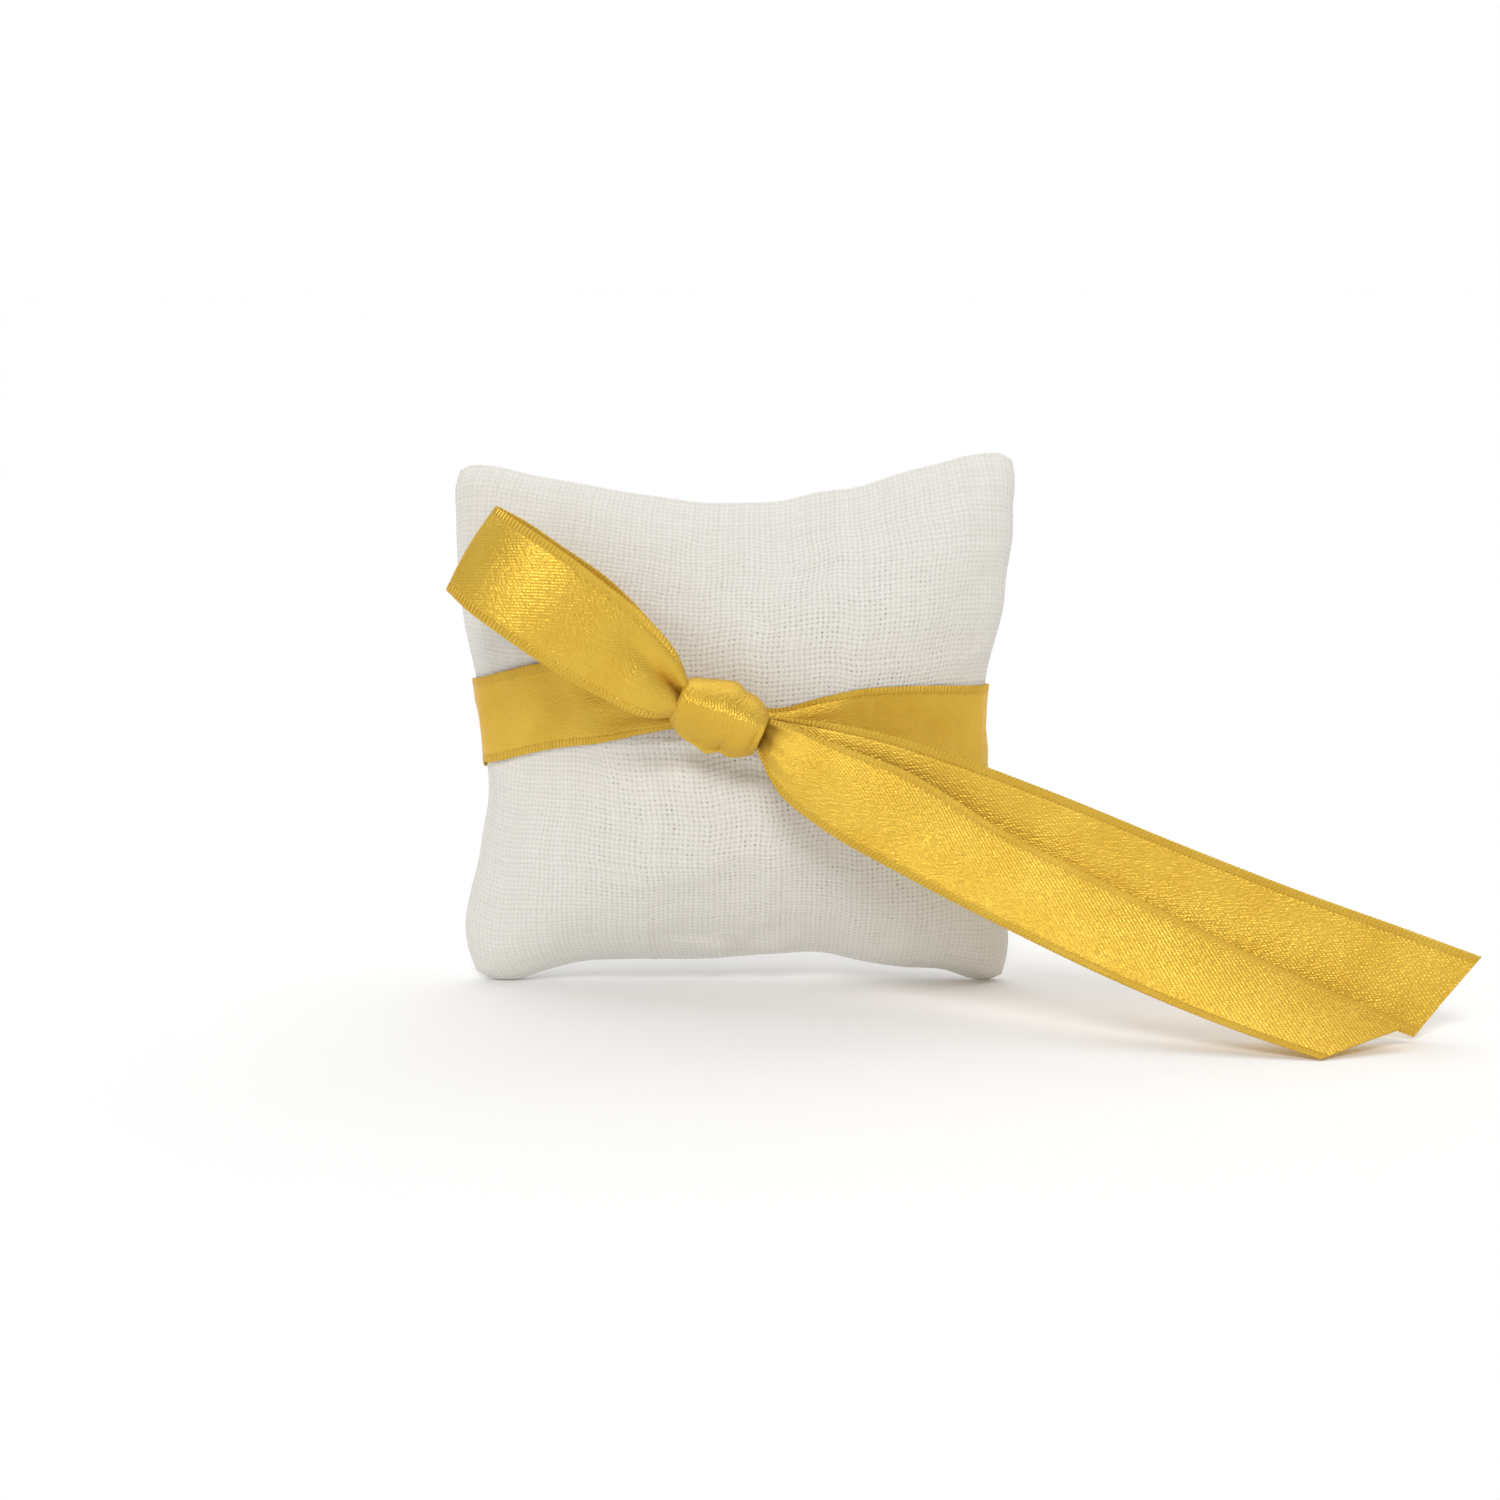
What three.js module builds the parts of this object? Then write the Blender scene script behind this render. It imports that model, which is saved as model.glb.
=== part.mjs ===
// A small ring bearer pillow tied round the middle with one satin ribbon.
// Millimetres, +Z up. The pillow stands on its two bottom corners and its front faces -Y.
import * as THREE from "three";

// Pillow cover, corner to corner before the feet are flattened.
const PILLOW_WIDTH = 63.6;
const PILLOW_HEIGHT = 62.8;
const PILLOW_THICKNESS = 24;
const COVER_THICKNESS = 0.5;
// How far the middle of each edge is drawn in by the filling and the ribbon.
const PULL_TOP = 4.6;
const PULL_BOTTOM = 3.0;
const PULL_LEFT = 3;
const PULL_RIGHT = 3.8;
// How far each corner is rounded off along its diagonal.
const CORNER_ROUNDING = 1.2;
// Height of the soft bottom corners that the floor presses flat.
const FOOT_FLATTENING = 1.2;
// How full the cushion is towards its edges: lower is fuller.
const EDGE_FULLNESS = 0.55;

// Space left between pieces that touch on the real thing.
const CLEARANCE = 0.3;
const THREAD_DIAMETER = 0.5;
// The loose wadding stops this far short of the seam's thread.
const WADDING_GAP = 0.9;
// The gap in the bottom seam that the cover is turned and filled through.
const TURNING_GAP = 24;

// Ribbon.
const RIBBON_WIDTH = 10;
const RIBBON_THICKNESS = 0.4;
const GATHERED_WIDTH = 5;
// The band rises from the sides of the pillow to the knot, both measured from its middle.
const BAND_LIFT = 0.4;
const KNOT_LIFT = 4;
const KNOT_OFFSET = -1.8;
// The knot is one turn of the ribbon, a barrel that leans down to the right.
const KNOT_LEAN = 22;
const KNOT_DEPTH = 5;
const KNOT_MIDDLE_RADIUS = 4.1;
const KNOT_END_RADIUS = 2.7;
// Space at the knot's mouths that lets the loop and the tails turn.
const MOUTH_GAP = 1.2;
const LAYER_STEP = 0.55;

const LOOP_ANGLE = 35;
const LOOP_REACH = 28;
const LOOP_OPENING = 8;

// Each tail runs right, forward and down to the floor: the run is its sideways reach.
const FRONT_TAIL_RUN = 64;
const FRONT_TAIL_FORWARD = 17.5;
const FRONT_TAIL_CUT = 9;
const FRONT_TAIL_ROLL = 46;
const FRONT_TAIL_SAG = 0.22;
const REAR_TAIL_RUN = 73.5;
const REAR_TAIL_FORWARD = 10.5;
const REAR_TAIL_CUT = 4;
const REAR_TAIL_ROLL = 6;
const REAR_TAIL_SAG = 0.02;
const REAR_TAIL_LIFT = 1.2;
const FLOOR_GAP = 0.3;

// Grid steps.
const COVER_STEPS = 18;
const FILLING_STEPS = 12;
const BAND_STEPS = 56;
const LOOP_STEPS = 36;
const TAIL_STEPS = 22;

const X = new THREE.Vector3(1, 0, 0);
const FORWARD = new THREE.Vector3(0, -1, 0);
const UP = new THREE.Vector3(0, 0, 1);
const radians = THREE.MathUtils.degToRad;

const LINEN = new THREE.MeshStandardMaterial({ color: "#e6dfd2", roughness: 0.9, metalness: 0 });
const WADDING = new THREE.MeshStandardMaterial({ color: "#f4f2ec", roughness: 1, metalness: 0 });
const THREAD = new THREE.MeshStandardMaterial({ color: "#ded6c6", roughness: 0.8, metalness: 0 });
const SATIN = new THREE.MeshStandardMaterial({ color: "#d6a73a", roughness: 0.35, metalness: 0 });

const part = new THREE.Group();
part.name = "ring_bearer_pillow";

// Adds one named piece to the part.
function addPiece(name, geometry, material) {
  const piece = new THREE.Mesh(geometry, material);
  piece.name = name;
  part.add(piece);
}

// A point list and a triangle list become one closed body.
function bodyFrom(points, triangles) {
  const geometry = new THREE.BufferGeometry();
  const coordinates = points.flatMap((point) => [point.x, point.y, point.z]);
  geometry.setAttribute("position", new THREE.Float32BufferAttribute(coordinates, 3));
  geometry.setIndex(triangles);
  geometry.computeVertexNormals();
  return geometry;
}

// A closed body between two grids of points. Seen from the face side, rows run up and
// columns run right. A looped sheet joins its last row to its first.
function sheetBody(face, back, looped = false) {
  const rows = face.length;
  const columns = face[0].length;
  const points = [...face.flat(), ...back.flat()];
  const triangles = [];
  const at = (side, row, column) => side * rows * columns + (row % rows) * columns + column;
  const quad = (a, b, c, d) => triangles.push(a, b, c, a, c, d);
  const lastRow = looped ? rows : rows - 1;
  for (let i = 0; i < lastRow; i += 1) {
    for (let j = 0; j < columns - 1; j += 1) {
      quad(at(0, i, j), at(0, i, j + 1), at(0, i + 1, j + 1), at(0, i + 1, j));
      quad(at(1, i, j), at(1, i + 1, j), at(1, i + 1, j + 1), at(1, i, j + 1));
    }
    quad(at(0, i, 0), at(0, i + 1, 0), at(1, i + 1, 0), at(1, i, 0));
    const edge = columns - 1;
    quad(at(0, i, edge), at(1, i, edge), at(1, i + 1, edge), at(0, i + 1, edge));
  }
  if (!looped) {
    const top = rows - 1;
    for (let j = 0; j < columns - 1; j += 1) {
      quad(at(0, 0, j), at(1, 0, j), at(1, 0, j + 1), at(0, 0, j + 1));
      quad(at(0, top, j), at(0, top, j + 1), at(1, top, j + 1), at(1, top, j));
    }
  }
  return bodyFrom(points, triangles);
}

// Steps from -1 to 1 that crowd towards both ends.
function crowdedSteps(count) {
  return Array.from({ length: count + 1 }, (_, i) => Math.sin((i / count - 0.5) * Math.PI));
}

// The pillow's height above the floor at its middle.
const MIDDLE_HEIGHT = PILLOW_HEIGHT / 2 - FOOT_FLATTENING - CORNER_ROUNDING / 2;
const BAND_HEIGHT = MIDDLE_HEIGHT + BAND_LIFT;
const KNOT_HEIGHT = MIDDLE_HEIGHT + KNOT_LIFT;

// A point of the cushion that lies a given depth inside the cover. across and along run
// from -1 to 1 over the pillow, side is -1 for the front and 1 for the back.
function cushionPoint(across, along, side, depth) {
  const halfWidth = PILLOW_WIDTH / 2 - depth;
  const halfHeight = PILLOW_HEIGHT / 2 - depth;
  const halfThickness = PILLOW_THICKNESS / 2 - depth;
  const pullSide = (across < 0 ? PULL_LEFT : PULL_RIGHT) * (1 - along ** 2);
  const pullEnd = (along < 0 ? PULL_BOTTOM : PULL_TOP) * (1 - across ** 2);
  const rounding = (CORNER_ROUNDING * Math.abs(across * along) ** 10) / Math.SQRT2;
  const x = across * (halfWidth - pullSide - rounding);
  const height = MIDDLE_HEIGHT + along * (halfHeight - pullEnd - rounding);
  const fullness = (1 - across ** 2) * (1 - along ** 2);
  const y = side * (CLEARANCE / 2 + halfThickness * fullness ** EDGE_FULLNESS);
  return new THREE.Vector3(x, y, Math.max(height, depth));
}

// A grid over one side of the cushion, in order for a face that looks outwards.
function cushionGrid(side, depth, count) {
  const steps = crowdedSteps(count);
  const columns = side < 0 ? steps : [...steps].reverse();
  return steps.map((along) => columns.map((across) => cushionPoint(across, along, side, depth)));
}

function addCover(name, side) {
  const outside = cushionGrid(side, 0, COVER_STEPS);
  const inside = cushionGrid(side, COVER_THICKNESS, COVER_STEPS);
  addPiece(name, sheetBody(outside, inside), LINEN);
}

// Depth of the seam's thread inside the cover, and of the filling inside that thread.
const THREAD_DEPTH = COVER_THICKNESS + CLEARANCE + THREAD_DIAMETER / 2;
const FILLING_DEPTH = THREAD_DEPTH + THREAD_DIAMETER / 2 + WADDING_GAP;

function addFilling() {
  const front = cushionGrid(-1, FILLING_DEPTH, FILLING_STEPS);
  const back = cushionGrid(1, FILLING_DEPTH, FILLING_STEPS).map((row) => [...row].reverse());
  addPiece("filling", sheetBody(front, back), WADDING);
}

// A round thread through a list of points.
function threadThrough(points, steps) {
  const path = new THREE.CatmullRomCurve3(points, false, "centripetal");
  const radius = THREAD_DIAMETER / 2;
  const section = new THREE.Shape();
  section.moveTo(radius, 0);
  for (let corner = 1; corner < 6; corner += 1) {
    const turn = (corner * Math.PI) / 3;
    section.lineTo(radius * Math.cos(turn), radius * Math.sin(turn));
  }
  return new THREE.ExtrudeGeometry(section, { steps, bevelEnabled: false, extrudePath: path });
}

// A point of the seam line, on the plane between the two covers.
function seamPoint(across, along) {
  const point = cushionPoint(across, along, -1, THREAD_DEPTH);
  point.y = 0;
  return point;
}

// The machine seam runs round the pillow from one end of the turning gap to the other.
function addSeamStitching() {
  const gap = TURNING_GAP / PILLOW_WIDTH;
  const upright = crowdedSteps(14);
  const bottom = upright.filter((share) => share > gap);
  const points = [seamPoint(gap, -1)];
  points.push(...bottom.map((across) => seamPoint(across, -1)));
  points.push(...upright.slice(1).map((along) => seamPoint(1, along)));
  points.push(...upright.slice(1).map((across) => seamPoint(-across, 1)));
  points.push(...upright.slice(1).map((along) => seamPoint(-1, -along)));
  points.push(...bottom.reverse().slice(1).map((across) => seamPoint(-across, -1)));
  points.push(seamPoint(-gap, -1));
  addPiece("seam_stitching", threadThrough(points, 110), THREAD);
}

// The turning gap is closed by hand with a thread that steps up and down across the seam.
function addClosingStitch() {
  const reach = TURNING_GAP / PILLOW_WIDTH - 0.04;
  const stitches = 12;
  const rise = CLEARANCE / 2;
  const points = Array.from({ length: stitches + 1 }, (_, i) => {
    const point = seamPoint(reach * ((2 * i) / stitches - 1), -1);
    point.y = i % 2 ? rise : -rise;
    return point;
  });
  addPiece("closing_stitch", threadThrough(points, 36), THREAD);
}

// Two faces of a ribbon: each station has a centre, the way across and the way its face looks.
function ribbonBody(stations, looped = false) {
  const grid = (side) =>
    stations.map(({ centre, across, face, width }) =>
      [-0.5, 0.5].map((share) =>
        centre
          .clone()
          .addScaledVector(across, share * width)
          .addScaledVector(face, (side * RIBBON_THICKNESS) / 2),
      ),
    );
  return sheetBody(grid(1), grid(-1), looped);
}

// 0 before start, 1 after end and smooth between.
const blend = (value, start, end) => THREE.MathUtils.smoothstep(value, start, end);
const mix = THREE.MathUtils.lerp;

// The band: a level turn round the middle that climbs and gathers behind the knot.
const BAND_GROWTH = CLEARANCE * 1.7 + RIBBON_THICKNESS / 2;
const WAIST_WIDTH = PILLOW_WIDTH - PULL_LEFT - PULL_RIGHT;
const WAIST_MIDDLE = (PULL_LEFT - PULL_RIGHT) / 2;

function bandPoint(turn) {
  const halfWidth = WAIST_WIDTH / 2 + BAND_GROWTH;
  const halfDepth = PILLOW_THICKNESS / 2 + CLEARANCE / 2 + BAND_GROWTH;
  const x = WAIST_MIDDLE + halfWidth * Math.sin(turn);
  const depth = halfDepth * Math.abs(Math.cos(turn)) ** (2 * EDGE_FULLNESS);
  const front = Math.cos(turn) > 0 ? -1 : 1;
  const nearKnot = front < 0 ? 1 - blend(Math.abs(x - KNOT_OFFSET), 0, WAIST_WIDTH * 0.42) : 0;
  return new THREE.Vector3(x, front * depth, mix(BAND_HEIGHT, KNOT_HEIGHT, nearKnot));
}

function addBand() {
  const stations = [];
  for (let i = 0; i < BAND_STEPS; i += 1) {
    const turn = ((i + 0.5) / BAND_STEPS) * Math.PI * 2;
    const centre = bandPoint(turn);
    const ahead = bandPoint(turn + 0.02).sub(bandPoint(turn - 0.02));
    const face = ahead.clone().cross(UP).normalize();
    const away = Math.abs(centre.x - KNOT_OFFSET);
    const gathered = centre.y < 0 ? 1 - blend(away, RIBBON_WIDTH * 0.4, RIBBON_WIDTH * 1.3) : 0;
    const width = mix(RIBBON_WIDTH, GATHERED_WIDTH, gathered);
    stations.push({ centre, across: UP.clone(), face, width });
  }
  addPiece("ribbon_band", ribbonBody(stations.reverse(), true), SATIN);
}

// The knot's own frame: its axis runs along the bundle, from the loop to the tails.
const BAND_FRONT = PILLOW_THICKNESS / 2 + CLEARANCE / 2 + BAND_GROWTH + RIBBON_THICKNESS / 2;
const KNOT_CENTRE = new THREE.Vector3(
  KNOT_OFFSET,
  -(BAND_FRONT + CLEARANCE + KNOT_DEPTH / 2),
  KNOT_HEIGHT,
);
const KNOT_AXIS = new THREE.Vector3(Math.cos(radians(KNOT_LEAN)), 0, -Math.sin(radians(KNOT_LEAN)));
const KNOT_RISE = new THREE.Vector3(Math.sin(radians(KNOT_LEAN)), 0, Math.cos(radians(KNOT_LEAN)));

// Rings round the knot's axis, a given depth inside the turn of ribbon.
function knotGrid(depth, halfLength) {
  const rows = 20;
  const columns = 8;
  return Array.from({ length: rows }, (_, i) => {
    const turn = (i / rows) * Math.PI * 2;
    return Array.from({ length: columns + 1 }, (_, j) => {
      const share = (2 * j) / columns - 1;
      const radius = mix(KNOT_MIDDLE_RADIUS, KNOT_END_RADIUS, share ** 2) - depth;
      const flatness = mix(KNOT_DEPTH / 2, KNOT_DEPTH * 0.42, share ** 2) - depth;
      return KNOT_CENTRE.clone()
        .addScaledVector(KNOT_AXIS, share * halfLength)
        .addScaledVector(KNOT_RISE, radius * Math.cos(turn))
        .addScaledVector(FORWARD, -flatness * Math.sin(turn));
    });
  });
}

function addKnot() {
  const halfLength = RIBBON_WIDTH / 2 - 0.3;
  const outside = knotGrid(0, halfLength);
  const inside = knotGrid(RIBBON_THICKNESS, halfLength);
  addPiece("ribbon_knot_wrap", sheetBody(outside, inside, true), SATIN);

  const skin = knotGrid(RIBBON_THICKNESS + CLEARANCE, halfLength - CLEARANCE);
  const rows = skin.length;
  const columns = skin[0].length;
  const points = skin.flat();
  const triangles = [];
  for (let i = 0; i < rows; i += 1) {
    const next = (i + 1) % rows;
    for (let j = 0; j < columns - 1; j += 1) {
      const [a, b] = [i * columns + j, i * columns + j + 1];
      const [c, d] = [next * columns + j + 1, next * columns + j];
      triangles.push(a, b, c, a, c, d);
    }
  }
  for (const [end, column] of [[0, 0], [1, columns - 1]]) {
    const middle = points.length;
    points.push(KNOT_CENTRE.clone().addScaledVector(KNOT_AXIS, (end * 2 - 1) * (halfLength - CLEARANCE)));
    for (let i = 0; i < rows; i += 1) {
      const here = i * columns + column;
      const there = ((i + 1) % rows) * columns + column;
      triangles.push(...(end ? [here, middle, there] : [here, there, middle]));
    }
  }
  addPiece("ribbon_knot_core", bodyFrom(points, triangles), SATIN);
}

// The mouths of the knot, where the loop leaves on the left and the tails on the right.
const LEFT_MOUTH = KNOT_CENTRE.clone().addScaledVector(KNOT_AXIS, -RIBBON_WIDTH / 2);
const RIGHT_MOUTH = KNOT_CENTRE.clone().addScaledVector(KNOT_AXIS, RIBBON_WIDTH / 2);

// The loop goes out on its front layer, turns at its end and comes back on its rear layer.
function addLoop() {
  const out = new THREE.Vector3(-Math.cos(radians(LOOP_ANGLE)), 0, Math.sin(radians(LOOP_ANGLE)));
  const across = new THREE.Vector3(Math.sin(radians(LOOP_ANGLE)), 0, Math.cos(radians(LOOP_ANGLE)));
  const loopPoint = (turn) => {
    const share = (1 - Math.cos(turn)) / 2;
    const swell = (LOOP_OPENING / 2) * Math.sin(turn) * share ** 0.35;
    return LEFT_MOUTH.clone()
      .addScaledVector(out, mix(MOUTH_GAP, LOOP_REACH, share))
      .addScaledVector(FORWARD, swell + LAYER_STEP * Math.cos(turn / 2));
  };
  const stations = [];
  for (let i = 0; i <= LOOP_STEPS; i += 1) {
    const turn = (i / LOOP_STEPS) * Math.PI * 2;
    const centre = loopPoint(turn);
    const ahead = loopPoint(Math.min(turn + 0.02, Math.PI * 2));
    ahead.sub(loopPoint(Math.max(turn - 0.02, 0)));
    const face = across.clone().cross(ahead).normalize();
    const share = (1 - Math.cos(turn)) / 2;
    const width = mix(GATHERED_WIDTH, RIBBON_WIDTH, blend(share, 0, 0.4));
    stations.push({ centre, across: across.clone(), face, width });
  }
  addPiece("ribbon_loop", ribbonBody(stations), SATIN);
}

// A tail from the knot's right mouth to the floor. Its end is cut at a slant, its lower
// edge shorter than its upper edge, and the drop is found so the lowest corner clears the floor.
function addTail(name, { run, forward, cut, roll, sag, step, lift }) {
  const mouthDrop = RIGHT_MOUTH.z - FLOOR_GAP - lift;
  const tailPoint = (share, drop) => {
    const bow = share * (1 - share);
    const sideways = MOUTH_GAP + (run - MOUTH_GAP) * share;
    return new THREE.Vector3(
      RIGHT_MOUTH.x + sideways,
      RIGHT_MOUTH.y - step - forward * (share + 0.5 * bow),
      RIGHT_MOUTH.z - (drop * sideways) / run - drop * sag * bow,
    );
  };
  const build = (drop) => {
    const stations = [];
    for (let i = 0; i <= TAIL_STEPS; i += 1) {
      const share = i / TAIL_STEPS;
      const centre = tailPoint(share, drop);
      const ahead = tailPoint(share + 0.01, drop).sub(tailPoint(share - 0.01, drop)).normalize();
      const upright = UP.clone().addScaledVector(ahead, -UP.dot(ahead)).normalize();
      const turned = radians(-roll) * blend(share, 0.1, 1);
      const across = upright.applyAxisAngle(ahead, turned);
      const face = across.clone().cross(ahead).normalize();
      const width = mix(GATHERED_WIDTH, RIBBON_WIDTH, blend(share * run, 0, RIBBON_WIDTH));
      const slant = (cut / 2) * blend(share, 0.75, 1);
      stations.push({ centre, across, face, width, ahead, slant });
    }
    const grid = (side) =>
      stations.map(({ centre, across, face, width, ahead, slant }) =>
        [-1, 1].map((edge) =>
          centre
            .clone()
            .addScaledVector(across, (edge * width) / 2)
            .addScaledVector(ahead, edge * slant)
            .addScaledVector(face, (side * RIBBON_THICKNESS) / 2),
        ),
      );
    return [grid(1), grid(-1)];
  };
  let drop = mouthDrop;
  let grids = build(drop);
  for (let round = 0; round < 6; round += 1) {
    const lowest = Math.min(...grids.flat(2).map((point) => point.z));
    drop += lowest - FLOOR_GAP - lift;
    grids = build(drop);
  }
  addPiece(name, sheetBody(grids[0], grids[1]), SATIN);
}

addCover("cover_front", -1);
addCover("cover_back", 1);
addFilling();
addSeamStitching();
addClosingStitch();
addBand();
addKnot();
addLoop();
addTail("ribbon_tail_rear", {
  run: REAR_TAIL_RUN,
  forward: REAR_TAIL_FORWARD,
  cut: REAR_TAIL_CUT,
  roll: REAR_TAIL_ROLL,
  sag: REAR_TAIL_SAG,
  step: -LAYER_STEP,
  lift: REAR_TAIL_LIFT,
});
addTail("ribbon_tail_front", {
  run: FRONT_TAIL_RUN,
  forward: FRONT_TAIL_FORWARD,
  cut: FRONT_TAIL_CUT,
  roll: FRONT_TAIL_ROLL,
  sag: FRONT_TAIL_SAG,
  step: LAYER_STEP,
  lift: 0,
});

// The origin is the middle of the footprint, on the floor.
part.updateMatrixWorld(true);
const extent = new THREE.Box3().setFromObject(part);
const middle = extent.getCenter(new THREE.Vector3());
for (const piece of part.children) {
  piece.geometry.translate(-middle.x, -middle.y, -extent.min.z);
}

export default part;
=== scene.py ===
"""A small ring bearer pillow tied round its middle with one satin ribbon.

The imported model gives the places, and every piece here is built round it. Sizes are in the
maker's millimetres: x to the right from the pillow's middle, y backwards from its seam, and
z upwards from the floor.
"""

import logging
import math
from dataclasses import dataclass, field
from enum import Enum
from typing import Any

import bpy
import numpy as np
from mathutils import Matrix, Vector


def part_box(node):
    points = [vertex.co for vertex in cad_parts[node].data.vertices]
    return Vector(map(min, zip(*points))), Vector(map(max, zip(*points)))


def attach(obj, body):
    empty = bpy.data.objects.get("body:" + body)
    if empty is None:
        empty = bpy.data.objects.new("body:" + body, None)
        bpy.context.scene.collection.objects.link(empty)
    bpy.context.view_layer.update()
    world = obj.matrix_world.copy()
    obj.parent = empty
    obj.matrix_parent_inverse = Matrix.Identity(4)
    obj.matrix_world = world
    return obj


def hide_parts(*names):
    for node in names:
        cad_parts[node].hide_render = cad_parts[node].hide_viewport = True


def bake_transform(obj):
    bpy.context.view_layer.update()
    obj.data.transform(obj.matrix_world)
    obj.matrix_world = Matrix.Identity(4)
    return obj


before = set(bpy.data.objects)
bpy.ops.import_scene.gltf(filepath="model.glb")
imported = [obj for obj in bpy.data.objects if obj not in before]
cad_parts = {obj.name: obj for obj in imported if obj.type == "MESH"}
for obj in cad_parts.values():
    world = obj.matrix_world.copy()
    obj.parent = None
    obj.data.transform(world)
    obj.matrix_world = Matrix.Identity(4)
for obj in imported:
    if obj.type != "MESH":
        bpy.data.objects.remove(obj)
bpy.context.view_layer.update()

LOG = logging.getLogger("ring_pillow")
MM = 0.001
CLOTH_MM = "cloth_mm"
EDGE_MM = "edge_mm"
OPENNESS = "openness"
UV_MAP = "OFBake"
SEED = 7

Points = np.ndarray
Line = list[tuple[float, float, float]]


# ---------------------------------------------------------------- places and curves


@dataclass(frozen=True)
class Place:
    """Where the pillow stands, to turn the maker's millimetres into the row's metres."""

    middle_x: float
    seam_y: float

    @classmethod
    def of_pillow(cls) -> "Place":
        """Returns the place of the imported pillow, from its front cover's box."""
        half_seam_gap = 0.15
        low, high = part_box("cover_front")
        return cls((low[0] + high[0]) / 2 / MM, high[1] / MM + half_seam_gap)

    def metres(self, points: Points) -> Points:
        """Returns points in metres in the row's frame."""
        return (np.asarray(points, float) + [self.middle_x, self.seam_y, 0.0]) * MM

    def point(self, x: float, y: float, z: float) -> tuple[float, float, float]:
        """Returns one point in metres in the row's frame."""
        return tuple(float(value) for value in self.metres(np.array([x, y, z])))


def smooth(value: Points, start: float, end: float) -> Points:
    """Returns 0 before start, 1 after end and a smooth step between them."""
    share = np.clip((np.asarray(value, float) - start) / (end - start), 0, 1)
    return share * share * (3 - 2 * share)


def unit(vectors: Points) -> Points:
    """Returns the vectors at length one."""
    return vectors / np.maximum(np.linalg.norm(vectors, axis=-1, keepdims=True), 1e-9)


def run_along(line: Points) -> Points:
    """Returns how far along a line each of its points lies."""
    return np.concatenate([[0], np.cumsum(np.linalg.norm(np.diff(line, axis=0), axis=1))])


def line_through(points: Line, count: int) -> Points:
    """Draws a smooth line through a few points.

    Args:
        points: The points that the line passes.
        count: How many points the result has, evenly spaced along the line.

    Returns:
        An array of count points.
    """
    given = np.array(points, float)
    knots = run_along(given)
    slopes = np.gradient(given, knots, axis=0)
    fine = np.linspace(0, knots[-1], 600)
    here = np.clip(np.searchsorted(knots, fine, side="right") - 1, 0, len(knots) - 2)
    span = (knots[here + 1] - knots[here])[:, None]
    t = ((fine - knots[here])[:, None]) / span
    drawn = (
        (2 * t**3 - 3 * t**2 + 1) * given[here]
        + (t**3 - 2 * t**2 + t) * span * slopes[here]
        + (3 * t**2 - 2 * t**3) * given[here + 1]
        + (t**3 - t**2) * span * slopes[here + 1]
    )
    run = run_along(drawn)
    wanted = np.linspace(0, run[-1], count)
    return np.stack([np.interp(wanted, run, drawn[:, k]) for k in range(drawn.shape[1])], 1)


def finer(grid: Points, times: int) -> Points:
    """Returns a grid of points with each step cut into several along both ways, smoothly."""
    for axis in (0, 1):
        moved = np.moveaxis(grid, axis, 0)
        count = (len(moved) - 1) * times + 1
        at = np.linspace(0, len(moved) - 1, count)
        here = np.minimum(at.astype(int), len(moved) - 2)
        t = (at - here).reshape(-1, *[1] * (moved.ndim - 1))
        slope = np.gradient(moved, axis=0)
        moved = (
            (2 * t**3 - 3 * t**2 + 1) * moved[here]
            + (t**3 - 2 * t**2 + t) * slope[here]
            + (3 * t**2 - 2 * t**3) * moved[here + 1]
            + (t**3 - t**2) * slope[here + 1]
        )
        grid = np.moveaxis(moved, 0, axis)
    return grid


def grid_normals(grid: Points) -> Points:
    """Returns the outward normals of a grid whose rows run up and columns run right."""
    up, right = np.gradient(grid, axis=0), np.gradient(grid, axis=1)
    return unit(np.cross(right, up))


# ---------------------------------------------------------------- meshes


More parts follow.
